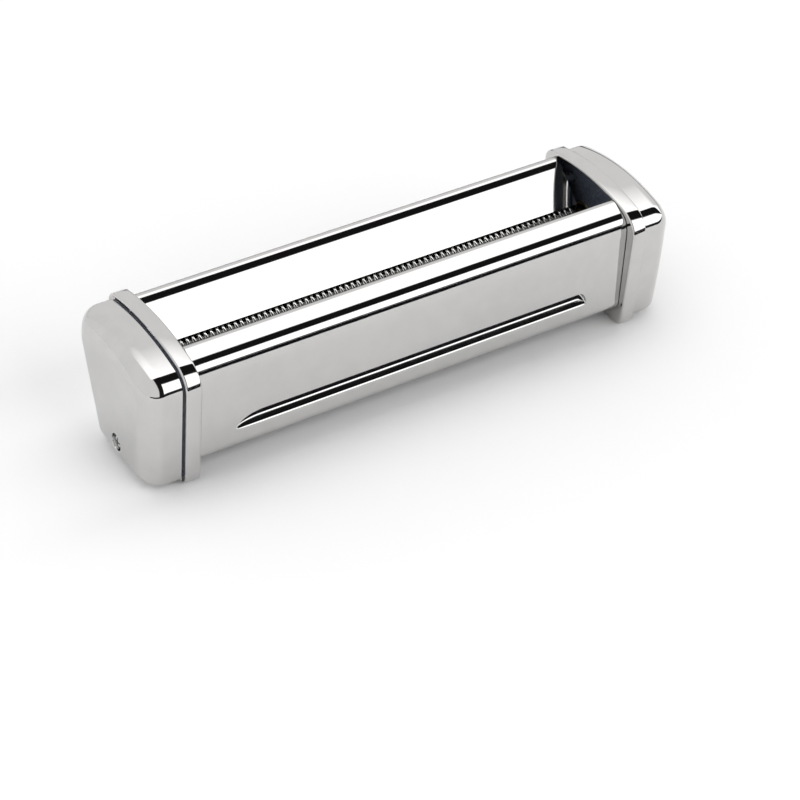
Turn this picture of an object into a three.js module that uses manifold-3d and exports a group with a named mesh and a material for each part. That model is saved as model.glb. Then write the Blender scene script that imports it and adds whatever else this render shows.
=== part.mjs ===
// Pasta cutter head: two intermeshing ridged rollers in a chromed sheet housing that hangs on a roller machine.
// Millimetres. X runs along the rollers with the drive end at +X, Y points to the back, Z is up.
// The origin is the centre of the footprint, on the surface that the head stands on.

import * as THREE from "three";
import { mergeVertices } from "three/addons/utils/BufferGeometryUtils.js";
import Module from "manifold-3d";

const wasm = await Module();
wasm.setup();

// ---------------------------------------------------------------- driving dimensions

const GAP = 0.3; // left between pieces that touch
const RUNNING_GAP = 0.3; // radial, between a journal and its bush

// Cutting rollers
const RIDGE_COUNT = 73; // on the back roller; the front one has one fewer, in its grooves
const RIDGE_PITCH = 3.0; // two strands of 1.5 mm
const RIDGE_WIDTH = 1.3;
const RIDGE_RADIUS = 12.5;
const RIDGE_HEIGHT = 2.2;
const RIDGE_MESH = 1.0; // how far the ridges of one roller reach into the grooves of the other
const ROLLER_AXIS_Z = 32.5;
const ROLLER_SIDES = 8;
const ROLLER_END_CLEARANCE = 2.4; // from the last ridge to the collar's face

// Journals, bushes and rings
const JOURNAL_RADIUS = 6;
const JOURNAL_END_RADIUS = 4.9;
const RING_GROOVE_DEPTH = 0.7;
const RING_THICKNESS = 1.0;
const RING_RADIUS = 7;
const JOURNAL_TAIL = 0.9; // past the ring's groove
const RING_PLAY = 0.1; // each side of a ring in its groove
const RING_BORE_PLAY = 0.2;
const BUSH_WALL = 1.7;
const BUSH_FLANGE_RADIUS = 9.8;
const BUSH_FLANGE_THICKNESS = 1.0;

// Gears and drive
const GEAR_TEETH = 16;
const GEAR_WIDTH = 5;
// A tooth from root to tip: height from the pitch circle in modules, half thickness as a share of the pitch
const GEAR_TOOTH = [
  [-1.2, 0.33],
  [0, 0.22],
  [0.85, 0.1],
];
const SOCKET_RADIUS = 7.4;
const SOCKET_ACROSS_FLATS = 8;
const SOCKET_LENGTH = 6.2;
const CRANK_HOLE_RADIUS = 8;

// Ends: collar, side plate and end cap share one outline
const END_HALF_DEPTH = 36;
const END_CROWN = 66;
const END_ARCH_RADIUS = 123;
const END_FRONT_SHOULDER = 11; // radius between the arch and the front
const END_BACK_SHOULDER = 7;
const END_FRONT_DRAFT = 2.2; // how far the front leans in at the foot
const END_KNEE_Z = 47; // the back tapers below this height
const END_BACK_TAPER = 0.37; // inwards, per millimetre of height
const END_FOOT_RADIUS = 5;
const COLLAR_WIDTH = 7.5;
const COLLAR_EDGE = 1.0;
const COLLAR_LIP = 1.4; // thickness of the arch above the hopper's mouth
const SIDE_PLATE_THICKNESS = 2;
const CAP_LENGTH = 17.6;
const CAP_SEAM = 0.5; // between a collar and its cap
const CAP_WALL = 1.5;
const CAP_STEP = 2.4; // the collar stands this far above the cap
const CAP_STRAIGHT_RIM = 1; // shortest length before the rounding starts
const CAP_GEAR_LAP = 1; // the side rounding may start this far short of the gears' outer faces
const CAP_TOP_ROUNDING = 9;
const CAP_SIDE_ROUNDING = 8.5;
const CAP_FOOT_ROUNDING = 5;
const CAP_END_SHOULDER_SHARE = 0.7; // shoulders of the flat end, as a share of the rim's
const CAP_CREASE = 1.3; // radians turned by the rounding before the flat end

// Covers
const SHEET = 1.0;
const COVER_FACE = 30.7; // outer face of the upright panels
const COVER_BOTTOM = 8.5;
const COVER_FOLD_RADIUS = 4.5;
const FRONT_TOP_Z = 59; // where the front panel and the front shelf would meet
const FRONT_SHELF_SLOPE = 0.409;
const FRONT_CREST_Y = -16.9; // where the shelf and the slope into the hopper would meet
const FRONT_CREST_RADIUS = 4;
const BACK_HOPPER_SLOPE = 0.87; // rise towards the back, per millimetre
const BACK_COVER_STEP = 2.6; // back cover inside the collar, where both taper
const HOPPER_EDGE_Y = 7.7; // half the slot above the rollers
const HOPPER_EDGE_CLEARANCE = 1.3; // from the sheets' edges to the ridges
const FRONT_FLANGE_Y = -17;
const BACK_FLANGE_Y = 10;

// Pressed groove in the front panel
const GROOVE_LENGTH = 185;
const GROOVE_HEIGHT = 8.8;
const GROOVE_DEPTH = 2.6;
const GROOVE_Z = 22.8;

// Combs that lift the strands out of the roller grooves
const COMB_PLATE_Y = 3.6;
const COMB_THICKNESS = 1.0;
const COMB_BAR_BOTTOM = 13.5;
const COMB_BAR_TOP = 19.5;
const COMB_TOOTH_WIDTH = 1.1;
const COMB_TIP_CLEARANCE = 0.35;
const COMB_TAB_HEIGHT = 4.5;

// Tie rods, nuts and cap screws
const ROD_RADIUS = 2.5;
const ROD_THREAD_RADIUS = 1.7;
const ROD_PLACES = {
  front_upper: [-22.5, 50],
  front_lower: [-24.5, 14.5],
  back_upper: [22.5, 49.5],
  back_lower: [13.5, 14.5],
};
const NUT_ACROSS_FLATS = 6.5;
const NUT_THICKNESS = 2.6;
const CAP_SCREW_PLACE = [-4, 11.2];
const CAP_BOSS_RADIUS = 5.4;
const CAP_RECESS_RADIUS = 4;
const CAP_RECESS_DEPTH = 3;
const CAP_SCREW_HEAD_RADIUS = 3.3;
const CAP_SCREW_HEAD_HEIGHT = 1.9;
const CAP_SCREW_HEAD_CHAMFER = 0.8;
const CAP_SCREW_RADIUS = 1.6;
const CAP_SCREW_REACH = 3; // past the side plate

// ---------------------------------------------------------------- sizes and places that follow; X is measured from the middle

const ROLLER_HALF = (RIDGE_COUNT * RIDGE_PITCH) / 2;
const COLLAR_X = ROLLER_HALF + ROLLER_END_CLEARANCE;
const COLLAR_END_X = COLLAR_X + COLLAR_WIDTH;
const PLATE_X = COLLAR_END_X + GAP;
const PLATE_END_X = PLATE_X + SIDE_PLATE_THICKNESS;
const CAP_X = COLLAR_END_X + CAP_SEAM;
const CAP_END_X = CAP_X + CAP_LENGTH;
const BUSH_X = PLATE_X - GAP;
const BUSH_FLANGE_X = PLATE_END_X + GAP;
const BUSH_END_X = BUSH_FLANGE_X + BUSH_FLANGE_THICKNESS;
const JOURNAL_STEP_X = BUSH_END_X + RING_PLAY;
const GEAR_X = JOURNAL_STEP_X + GAP;
const GEAR_END_X = GEAR_X + GEAR_WIDTH;
const RIGHT_RING_X = GEAR_END_X + GAP;
const LEFT_RING_X = JOURNAL_STEP_X + GAP;
const CAP_SIDE_RUN = CAP_END_X - CAP_WALL - GEAR_END_X + CAP_GEAR_LAP; // room for the side rounding
const RING_SLOT = RING_THICKNESS + 2 * RING_PLAY;
const RING_BORE_RADIUS = JOURNAL_END_RADIUS - RING_GROOVE_DEPTH + RING_BORE_PLAY;
const BUSH_RADIUS = JOURNAL_RADIUS + RUNNING_GAP + BUSH_WALL;
const ROLLER_AXIS_Y = RIDGE_RADIUS - RIDGE_MESH / 2; // half the distance between the two axes
const HOPPER_EDGE_Z =
  ROLLER_AXIS_Z +
  Math.sqrt((RIDGE_RADIUS + HOPPER_EDGE_CLEARANCE) ** 2 - (ROLLER_AXIS_Y - HOPPER_EDGE_Y) ** 2);

// ---------------------------------------------------------------- helpers

/** Turns section coordinates (y, z) extruded by depth into (x, y, z). */
const ALONG_X = new THREE.Matrix4().makeBasis(
  new THREE.Vector3(0, 1, 0),
  new THREE.Vector3(0, 0, 1),
  new THREE.Vector3(1, 0, 0),
);

/** A closed three.js geometry as a manifold solid. */
function toSolid(geometry) {
  const bare = geometry.clone();
  bare.deleteAttribute("normal");
  bare.deleteAttribute("uv");
  const merged = mergeVertices(bare, 1e-4);
  return new wasm.Manifold(
    new wasm.Mesh({
      numProp: 3,
      vertProperties: merged.attributes.position.array,
      triVerts: new Uint32Array(merged.index.array),
    }),
  );
}

/** A manifold solid as a three.js geometry. */
function toGeometry(solid) {
  const mesh = solid.getMesh();
  const geometry = new THREE.BufferGeometry();
  geometry.setAttribute(
    "position",
    new THREE.BufferAttribute(new Float32Array(mesh.vertProperties), mesh.numProp),
  );
  geometry.setIndex(new THREE.BufferAttribute(new Uint32Array(mesh.triVerts), 1));
  geometry.computeVertexNormals();
  return geometry;
}

/** Extrudes a closed (y, z) outline from x0 to x1. */
function prism(outline, x0, x1) {
  const shape = new THREE.Shape(outline.map(([y, z]) => new THREE.Vector2(y, z)));
  const geometry = new THREE.ExtrudeGeometry(shape, { depth: x1 - x0, bevelEnabled: false });
  return geometry.applyMatrix4(ALONG_X).translate(x0, 0, 0);
}

/** A cylinder along X, centred on (y, z). */
function rod(radius, x0, x1, [y, z], sides = 12) {
  const geometry = new THREE.CylinderGeometry(radius, radius, x1 - x0, sides);
  return geometry.rotateZ(-Math.PI / 2).translate((x0 + x1) / 2, y, z);
}

/** Turns a profile of [x, radius] pairs about the X axis through (y, z). */
function turned(profile, sides, [y, z]) {
  const points = profile.map(([x, radius]) => new THREE.Vector2(radius, x));
  const geometry = new THREE.LatheGeometry(points, sides);
  return geometry.rotateZ(-Math.PI / 2).translate(0, y, z);
}

/** Points of an arc about (y, z), from angle a0 to a1 in radians, ends included. */
function arc([y, z], radius, a0, a1, steps) {
  return Array.from({ length: steps + 1 }, (_, i) => {
    const a = a0 + ((a1 - a0) * i) / steps;
    return [y + radius * Math.cos(a), z + radius * Math.sin(a)];
  });
}

/** An open path through corner points [y, z, radius], each inner corner rounded. */
function foldedPath(corners, steps = 4) {
  const path = [corners[0].slice(0, 2)];
  for (let i = 1; i < corners.length - 1; i++) {
    const [y, z, radius] = corners[i];
    const corner = new THREE.Vector2(y, z);
    const before = new THREE.Vector2(...corners[i - 1]).sub(corner).normalize();
    const after = new THREE.Vector2(...corners[i + 1]).sub(corner).normalize();
    const half = Math.acos(before.dot(after)) / 2;
    const middle = before.clone().add(after).normalize();
    const centre = corner.clone().addScaledVector(middle, radius / Math.sin(half));
    const start = corner.clone().addScaledVector(before, radius / Math.tan(half)).sub(centre);
    const turn = Math.sign(before.cross(after)) * (Math.PI - 2 * half);
    path.push(...arc([centre.x, centre.y], radius, start.angle(), start.angle() - turn, steps));
  }
  path.push(corners.at(-1).slice(0, 2));
  return path;
}

/** The same path moved sideways, to the right of its direction by distance. */
function offsetPath(path, distance) {
  return path.map(([y, z], i) => {
    const here = new THREE.Vector2(y, z);
    const sides = [];
    if (i > 0) sides.push(here.clone().sub(new THREE.Vector2(...path[i - 1])).normalize());
    if (i < path.length - 1) {
      sides.push(new THREE.Vector2(...path[i + 1]).sub(here).normalize());
    }
    const along = sides.reduce((sum, side) => sum.add(side), new THREE.Vector2()).normalize();
    const reach = distance / along.dot(sides[0]);
    return [y + along.y * reach, z - along.x * reach];
  });
}

/** Mirrors an outline or path in the plane y = 0. */
const mirrorY = (path) => path.map(([y, z]) => [-y, z]);

// ---------------------------------------------------------------- the ends' shared outline

const END = {
  front: -END_HALF_DEPTH,
  back: END_HALF_DEPTH,
  crown: END_CROWN,
  archRadius: END_ARCH_RADIUS,
  frontShoulder: END_FRONT_SHOULDER,
  backShoulder: END_BACK_SHOULDER,
  kneeZ: END_KNEE_Z,
  foot: 0,
  footRadius: END_FOOT_RADIUS,
};

const LEAST_CORNER = 1.5; // radius that an inset leaves at a corner

/** The outline with every side moved in by the same distance. */
function inset(end, distance) {
  const rounder = (radius) => Math.max(radius - distance, LEAST_CORNER);
  return {
    ...end,
    front: end.front + distance,
    back: end.back - distance,
    crown: end.crown - distance,
    archRadius: end.archRadius - distance,
    frontShoulder: rounder(end.frontShoulder),
    backShoulder: rounder(end.backShoulder),
    foot: end.foot + distance,
    footRadius: rounder(end.footRadius),
  };
}

/** Back face of an end at a height: upright above the knee, tapering in below it. */
function backFace(end, z) {
  return end.back - Math.max(0, end.kneeZ - z) * END_BACK_TAPER;
}

/** A shoulder that blends an upright side into the arch: its arc, and the arch's angle where it ends. */
function shoulderArc(end, side, radius) {
  const archZ = end.crown - end.archRadius;
  const centreY = side - radius;
  const rise = Math.sqrt((end.archRadius - radius) ** 2 - centreY ** 2);
  const tangent = Math.atan2(rise, centreY);
  return { points: arc([centreY, archZ + rise], radius, 0, tangent, 4), tangent };
}

/** Closed outline of an end: front, foot, tapering back, shoulders and arch. All have the same number of points. */
function endOutline(end) {
  const back = shoulderArc(end, end.back, end.backShoulder);
  const front = shoulderArc(end, -end.front, end.frontShoulder);
  const archCentre = [0, end.crown - end.archRadius];
  const arch = arc(archCentre, end.archRadius, back.tangent, Math.PI - front.tangent, 8);
  const frontShoulder = mirrorY(front.points).reverse();
  const foot = foldedPath(
    [
      frontShoulder.at(-1),
      [end.front + END_FRONT_DRAFT, end.foot, end.footRadius],
      [backFace(end, end.foot), end.foot, end.footRadius],
      [end.back, end.kneeZ],
    ],
    5,
  );
  return [...foot, ...back.points, ...arch.slice(1, -1), ...frontShoulder.slice(0, -1)];
}

const CAP_OUTER = inset(END, CAP_STEP);
const CAP_INNER = inset(CAP_OUTER, CAP_WALL);

/** Closed body through rings of points [x, y, z], each ring as long as the last, capped at both ends. */
function loft(rings) {
  const count = rings[0].length;
  const positions = rings.flat(2);
  const index = [];
  for (let r = 0; r < rings.length - 1; r++) {
    for (let i = 0; i < count; i++) {
      const a = r * count + i;
      const b = r * count + ((i + 1) % count);
      index.push(a, b, a + count, b, b + count, a + count);
    }
  }
  const closeEnd = (ring, base, facesForward) => {
    const flat = ring.map(([, y, z]) => new THREE.Vector2(y, z));
    for (const [a, b, c] of THREE.ShapeUtils.triangulateShape(flat, [])) {
      const turnsLeft = flat[b].clone().sub(flat[a]).cross(flat[c].clone().sub(flat[a])) > 0;
      const [second, third] = turnsLeft === facesForward ? [b, c] : [c, b];
      index.push(base + a, base + second, base + third);
    }
  };
  closeEnd(rings[0], 0, false);
  closeEnd(rings.at(-1), (rings.length - 1) * count, true);
  const geometry = new THREE.BufferGeometry();
  geometry.setAttribute("position", new THREE.Float32BufferAttribute(positions, 3));
  geometry.setIndex(index);
  return geometry;
}

/** A ring of loft points: an outline at one x. */
const ringAt = (outline, x) => outline.map(([y, z]) => [x, y, z]);

// ---------------------------------------------------------------- covers

/** Outer face of the front cover, from its bottom flange up to the edge above the rollers. */
function frontCoverPath() {
  const slopeEdge = [-HOPPER_EDGE_Y, HOPPER_EDGE_Z];
  const crestZ = FRONT_TOP_Z + (FRONT_CREST_Y + COVER_FACE) * FRONT_SHELF_SLOPE;
  return foldedPath([
    [FRONT_FLANGE_Y, COVER_BOTTOM],
    [-COVER_FACE, COVER_BOTTOM, COVER_FOLD_RADIUS],
    [-COVER_FACE, FRONT_TOP_Z, COVER_FOLD_RADIUS],
    [FRONT_CREST_Y, crestZ, FRONT_CREST_RADIUS],
    slopeEdge,
  ]);
}

/** Outer face of the back cover, from the edge above the rollers to its bottom flange. */
function backCoverPath() {
  const taperShift = BACK_COVER_STEP * Math.hypot(1, END_BACK_TAPER);
  const taperY = (z) => backFace(END, z) - taperShift;
  const kneeZ = END_KNEE_Z - (END_HALF_DEPTH - taperShift - COVER_FACE) / END_BACK_TAPER;
  const crestZ = HOPPER_EDGE_Z + (COVER_FACE - HOPPER_EDGE_Y) * BACK_HOPPER_SLOPE;
  return foldedPath([
    [HOPPER_EDGE_Y, HOPPER_EDGE_Z],
    [COVER_FACE, crestZ, COVER_FOLD_RADIUS],
    [COVER_FACE, kneeZ, 2 * COVER_FOLD_RADIUS],
    [taperY(COVER_BOTTOM), COVER_BOTTOM, COVER_FOLD_RADIUS],
    [BACK_FLANGE_Y, COVER_BOTTOM],
  ]);
}

/** A folded sheet between its outer path and the same path one sheet thickness inside. */
function sheetCover(path) {
  const inside = offsetPath(path, SHEET);
  return prism([...inside, ...path.toReversed()], -COLLAR_X + GAP, COLLAR_X - GAP);
}

/** The front cover with its pressed groove: a long capsule cuts the panel, backed by one sheet thickness. */
function frontCover() {
  const half = GROOVE_HEIGHT / 2;
  const radius = (half ** 2 + GROOVE_DEPTH ** 2) / (2 * GROOVE_DEPTH);
  const axisY = -COVER_FACE - radius + GROOVE_DEPTH;
  const straight = GROOVE_LENGTH - GROOVE_HEIGHT;
  const capsule = (r) =>
    toSolid(
      new THREE.CapsuleGeometry(r, straight, 5, 16).rotateZ(Math.PI / 2).translate(0, axisY, GROOVE_Z),
    );
  const behindPanel = toSolid(
    new THREE.BoxGeometry(2 * COLLAR_X, 3 * radius, 3 * radius).translate(
      0,
      -COVER_FACE + SHEET / 2 + 1.5 * radius,
      GROOVE_Z,
    ),
  );
  const backing = capsule(radius + SHEET).intersect(behindPanel);
  return toGeometry(toSolid(sheetCover(frontCoverPath())).add(backing).subtract(capsule(radius)));
}

// ---------------------------------------------------------------- collars, side plates and caps

/** The hole through a collar: inside the covers' middle faces, and under the arch of the hopper's mouth. */
function collarHole() {
  const front = offsetPath(frontCoverPath(), SHEET / 2).slice(1, -3);
  const back = offsetPath(backCoverPath(), SHEET / 2).slice(3, -1);
  const arch = { ...END, crown: END.crown - COLLAR_LIP, archRadius: END.archRadius - COLLAR_LIP };
  const archCentre = [0, arch.crown - arch.archRadius];
  const angleAt = (y) => Math.acos(y / arch.archRadius);
  const over = arc(archCentre, arch.archRadius, angleAt(front.at(-1)[0]), angleAt(back[0][0]), 8);
  return [...front, ...over, ...back];
}

/** The proud band round one end, with rounded edges. */
function collar() {
  const ring = (step, x) => ringAt(endOutline(inset(END, step)), x);
  const halfway = COLLAR_EDGE * (1 - Math.SQRT1_2); // both ways from the corner to the middle of its rounding
  const rings = [
    ring(COLLAR_EDGE, COLLAR_X),
    ring(halfway, COLLAR_X + halfway),
    ring(0, COLLAR_X + COLLAR_EDGE),
    ring(0, COLLAR_END_X - COLLAR_EDGE),
    ring(halfway, COLLAR_END_X - halfway),
    ring(COLLAR_EDGE, COLLAR_END_X),
  ];
  const hole = prism(collarHole(), COLLAR_X - 1, COLLAR_END_X + 1);
  return toSolid(loft(rings)).subtract(toSolid(hole));
}

/** Side plate that carries both rollers, inside the cap's rim. */
function sidePlate() {
  const outline = endOutline(inset(CAP_INNER, GAP));
  let plate = toSolid(prism(outline, PLATE_X, PLATE_END_X));
  const drill = (radius, place, sides) => {
    plate = plate.subtract(toSolid(rod(radius, PLATE_X - 1, PLATE_END_X + 1, place, sides)));
  };
  for (const side of [-1, 1]) {
    drill(BUSH_RADIUS + GAP, [side * ROLLER_AXIS_Y, ROLLER_AXIS_Z], 20);
    const [low, high] = combTabHeights();
    const slot = new THREE.BoxGeometry(
      2 * SIDE_PLATE_THICKNESS,
      COMB_THICKNESS + 2 * GAP,
      high - low + 2 * GAP,
    ).translate(PLATE_X + SIDE_PLATE_THICKNESS / 2, side * COMB_PLATE_Y, (low + high) / 2);
    plate = plate.subtract(toSolid(slot));
  }
  Object.values(ROD_PLACES).forEach((place) => drill(ROD_THREAD_RADIUS + GAP, place, 12));
  drill(CAP_SCREW_RADIUS + GAP, CAP_SCREW_PLACE, 12);
  return plate;
}

/** Domed cap: straight rim, then a rounding whose size at each point is how far the flat end lies inside. */
function capBody(outer, endFace, x0, x1, steps) {
  const start = endOutline(outer);
  const end = endOutline(endFace);
  const steepness = Math.min(1, CAP_SIDE_RUN / CAP_SIDE_ROUNDING);
  const rings = [ringAt(start, x0)];
  for (let s = 0; s <= steps; s++) {
    const angle = (CAP_CREASE * s) / steps;
    const inwards = (1 - Math.cos(angle)) / (1 - Math.cos(CAP_CREASE));
    const along = Math.sin(angle) / Math.sin(CAP_CREASE);
    rings.push(
      start.map(([y, z], i) => {
        const [endY, endZ] = end[i];
        const rounding = steepness * Math.hypot(endY - y, endZ - z);
        const length = Math.min(rounding, x1 - x0 - CAP_STRAIGHT_RIM);
        return [x1 - length * (1 - along), y + (endY - y) * inwards, z + (endZ - z) * inwards];
      }),
    );
  }
  return toSolid(loft(rings));
}

/** One end cap for the +X end, with its screw boss; the drive end also has the crank's hole. */
function endCap(isDriveEnd) {
  const flatEnd = (end) => ({
    ...end,
    front: end.front + CAP_SIDE_ROUNDING,
    back: end.back - CAP_SIDE_ROUNDING,
    crown: end.crown - CAP_TOP_ROUNDING,
    frontShoulder: end.frontShoulder * CAP_END_SHOULDER_SHARE,
    backShoulder: end.backShoulder * CAP_END_SHOULDER_SHARE,
    foot: end.foot + CAP_FOOT_ROUNDING,
  });
  const insideX = CAP_END_X - CAP_WALL;
  const outside = capBody(CAP_OUTER, flatEnd(CAP_OUTER), CAP_X, CAP_END_X, 5);
  const inside = capBody(CAP_INNER, flatEnd(CAP_INNER), CAP_X - 1, insideX, 3);
  const boss = toSolid(
    rod(CAP_BOSS_RADIUS, PLATE_END_X + GAP, insideX + CAP_WALL / 2, CAP_SCREW_PLACE, 16),
  );
  const recess = toSolid(
    rod(CAP_RECESS_RADIUS, CAP_END_X - CAP_RECESS_DEPTH, CAP_END_X + 1, CAP_SCREW_PLACE, 16),
  );
  const hole = toSolid(
    rod(CAP_SCREW_RADIUS + GAP, PLATE_X, CAP_END_X + 1, CAP_SCREW_PLACE, 12),
  );
  const cap = outside.subtract(inside).add(boss.intersect(outside)).subtract(recess).subtract(hole);
  if (!isDriveEnd) return cap;
  const crank = rod(CRANK_HOLE_RADIUS, insideX - 1, CAP_END_X + 1, [-ROLLER_AXIS_Y, ROLLER_AXIS_Z], 20);
  return cap.subtract(toSolid(crank));
}

// ---------------------------------------------------------------- rollers and what turns with them

/** Profile [x, radius] of a cutting roller, from its left end to its right end. */
function rollerProfile(ridges) {
  const core = RIDGE_RADIUS - RIDGE_HEIGHT;
  const grooved = JOURNAL_END_RADIUS - RING_GROOVE_DEPTH;
  const leftEnd = LEFT_RING_X + RING_SLOT + JOURNAL_TAIL;
  const rightEnd = RIGHT_RING_X + RING_SLOT + JOURNAL_TAIL;
  const profile = [
    [-leftEnd, 0],
    [-leftEnd, JOURNAL_END_RADIUS],
    [-LEFT_RING_X - RING_SLOT, JOURNAL_END_RADIUS],
    [-LEFT_RING_X - RING_SLOT, grooved],
    [-LEFT_RING_X, grooved],
    [-LEFT_RING_X, JOURNAL_END_RADIUS],
    [-JOURNAL_STEP_X, JOURNAL_END_RADIUS],
    [-JOURNAL_STEP_X, JOURNAL_RADIUS],
    [-ROLLER_HALF, JOURNAL_RADIUS],
    [-ROLLER_HALF, core],
  ];
  for (let i = 0; i < ridges; i++) {
    const middle = (i - (ridges - 1) / 2) * RIDGE_PITCH;
    const [low, high] = [middle - RIDGE_WIDTH / 2, middle + RIDGE_WIDTH / 2];
    profile.push([low, core], [low, RIDGE_RADIUS], [high, RIDGE_RADIUS], [high, core]);
  }
  profile.push(
    [ROLLER_HALF, core],
    [ROLLER_HALF, JOURNAL_RADIUS],
    [JOURNAL_STEP_X, JOURNAL_RADIUS],
    [JOURNAL_STEP_X, JOURNAL_END_RADIUS],
    [RIGHT_RING_X, JOURNAL_END_RADIUS],
    [RIGHT_RING_X, grooved],
    [RIGHT_RING_X + RING_SLOT, grooved],
    [RIGHT_RING_X + RING_SLOT, JOURNAL_END_RADIUS],
    [rightEnd, JOURNAL_END_RADIUS],
    [rightEnd, 0],
  );
  return profile;
}

/** A flat ring about the roller axis of one side, with a polygon bore. */
function flatRing(radius, bore, x0, x1, axis, sides, boreSides = sides) {
  return toSolid(rod(radius, x0, x1, axis, sides)).subtract(
    toSolid(rod(bore, x0 - 1, x1 + 1, axis, boreSides)),
  );
}

/** Spur gear with straight-sided teeth, turned by phase. */
function gear(axis, phase) {
  const pitchRadius = ROLLER_AXIS_Y;
  const module = (2 * pitchRadius) / GEAR_TEETH;
  const pitch = (2 * Math.PI) / GEAR_TEETH;
  const outline = [];
  for (let tooth = 0; tooth < GEAR_TEETH; tooth++) {
    const middle = phase + tooth * pitch;
    const flank = (sign, [height, share]) => {
      const angle = middle + sign * share * pitch;
      const radius = pitchRadius + height * module;
      outline.push([axis[0] + radius * Math.cos(angle), axis[1] + radius * Math.sin(angle)]);
    };
    GEAR_TOOTH.forEach((level) => flank(-1, level));
    GEAR_TOOTH.toReversed().forEach((level) => flank(1, level));
  }
  const bore = rod(JOURNAL_END_RADIUS + GAP, GEAR_X - 1, GEAR_END_X + 1, axis, 16);
  return toSolid(prism(outline, GEAR_X, GEAR_END_X)).subtract(toSolid(bore));
}

/** Flanged bush in the +X side plate. */
function bush(axis) {
  const bore = JOURNAL_RADIUS + RUNNING_GAP;
  const profile = [
    [BUSH_X, bore],
    [BUSH_X, BUSH_RADIUS],
    [BUSH_FLANGE_X, BUSH_RADIUS],
    [BUSH_FLANGE_X, BUSH_FLANGE_RADIUS],
    [BUSH_END_X, BUSH_FLANGE_RADIUS],
    [BUSH_END_X, bore],
    [BUSH_X, bore],
  ];
  return turned(profile, 20, axis);
}

/** Hexagon socket on the end of the driven journal. */
function driveSocket() {
  const axis = [-ROLLER_AXIS_Y, ROLLER_AXIS_Z];
  const start = RIGHT_RING_X + RING_SLOT + JOURNAL_TAIL + GAP;
  const corner = SOCKET_ACROSS_FLATS / 2 / Math.cos(Math.PI / 6);
  return flatRing(SOCKET_RADIUS, corner, start, start + SOCKET_LENGTH, axis, 20, 6);
}

// ---------------------------------------------------------------- combs, rods and fasteners

/** Lowest and highest z of the tabs that sit in the side plates. */
function combTabHeights() {
  const middle = (COMB_BAR_BOTTOM + COMB_BAR_TOP) / 2;
  return [middle - COMB_TAB_HEIGHT / 2, middle + COMB_TAB_HEIGHT / 2];
}

/** A comb: an upright plate under the nip whose teeth stand in the grooves of one roller. */
function comb(side, ridges) {
  const core = RIDGE_RADIUS - RIDGE_HEIGHT;
  const nearY = ROLLER_AXIS_Y - COMB_PLATE_Y - COMB_THICKNESS / 2;
  const tipZ = ROLLER_AXIS_Z - Math.sqrt((core + COMB_TIP_CLEARANCE) ** 2 - nearY ** 2);
  const [tabLow, tabHigh] = combTabHeights();
  const plateEnd = COLLAR_END_X - GAP;
  const grooves = ridges - 1;
  const outline = [
    [-PLATE_END_X, tabLow],
    [-plateEnd, tabLow],
    [-plateEnd, COMB_BAR_BOTTOM],
    [plateEnd, COMB_BAR_BOTTOM],
    [plateEnd, tabLow],
    [PLATE_END_X, tabLow],
    [PLATE_END_X, tabHigh],
    [plateEnd, tabHigh],
    [plateEnd, COMB_BAR_TOP],
  ];
  for (let i = grooves - 1; i >= 0; i--) {
    const middle = (i - (grooves - 1) / 2) * RIDGE_PITCH;
    const [low, high] = [middle - COMB_TOOTH_WIDTH / 2, middle + COMB_TOOTH_WIDTH / 2];
    outline.push([high, COMB_BAR_TOP], [high, tipZ], [low, tipZ], [low, COMB_BAR_TOP]);
  }
  outline.push([-plateEnd, COMB_BAR_TOP], [-plateEnd, tabHigh], [-PLATE_END_X, tabHigh]);
  const shape = new THREE.Shape(outline.map(([x, z]) => new THREE.Vector2(x, z)));
  const geometry = new THREE.ExtrudeGeometry(shape, { depth: COMB_THICKNESS, bevelEnabled: false });
  return geometry.rotateX(Math.PI / 2).translate(0, side * COMB_PLATE_Y + COMB_THICKNESS / 2, 0);
}

/** Tie rod between the side plates, with a threaded stub through each. */
function tieRod(place) {
  const shoulder = PLATE_X - GAP;
  const end = PLATE_END_X + NUT_THICKNESS + 2 * GAP;
  const profile = [
    [-end, 0],
    [-end, ROD_THREAD_RADIUS],
    [-shoulder, ROD_THREAD_RADIUS],
    [-shoulder, ROD_RADIUS],
    [shoulder, ROD_RADIUS],
    [shoulder, ROD_THREAD_RADIUS],
    [end, ROD_THREAD_RADIUS],
    [end, 0],
  ];
  return turned(profile, 10, place);
}

/** Hexagon nut outside the +X side plate. */
function nut(place) {
  const start = PLATE_END_X + GAP;
  const corner = NUT_ACROSS_FLATS / 2 / Math.cos(Math.PI / 6);
  return flatRing(corner, ROD_THREAD_RADIUS + GAP, start, start + NUT_THICKNESS, place, 6, 10);
}

/** Pan-head screw that holds the +X cap to its side plate. */
function capScrew() {
  const seat = CAP_END_X - CAP_RECESS_DEPTH + GAP;
  const tip = PLATE_X - CAP_SCREW_REACH;
  const crown = seat + CAP_SCREW_HEAD_HEIGHT;
  return turned(
    [
      [tip, 0],
      [tip, CAP_SCREW_RADIUS],
      [seat, CAP_SCREW_RADIUS],
      [seat, CAP_SCREW_HEAD_RADIUS],
      [crown - CAP_SCREW_HEAD_CHAMFER, CAP_SCREW_HEAD_RADIUS],
      [crown, CAP_SCREW_HEAD_RADIUS - CAP_SCREW_HEAD_CHAMFER],
      [crown, 0],
    ],
    12,
    CAP_SCREW_PLACE,
  );
}

// ---------------------------------------------------------------- assembly

const finish = (color, roughness, metalness) =>
  new THREE.MeshStandardMaterial({ color, roughness, metalness });
const CHROME = finish(0xd9d8d6, 0.12, 1);
const DARK_SATIN = finish(0x20262f, 0.45, 0.3);
const STEEL = finish(0xb9bbbd, 0.3, 1);
const BRONZE = finish(0xa8814a, 0.35, 1);
const ZINC = finish(0x9fa2a6, 0.4, 1);

const root = new THREE.Group();

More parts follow.
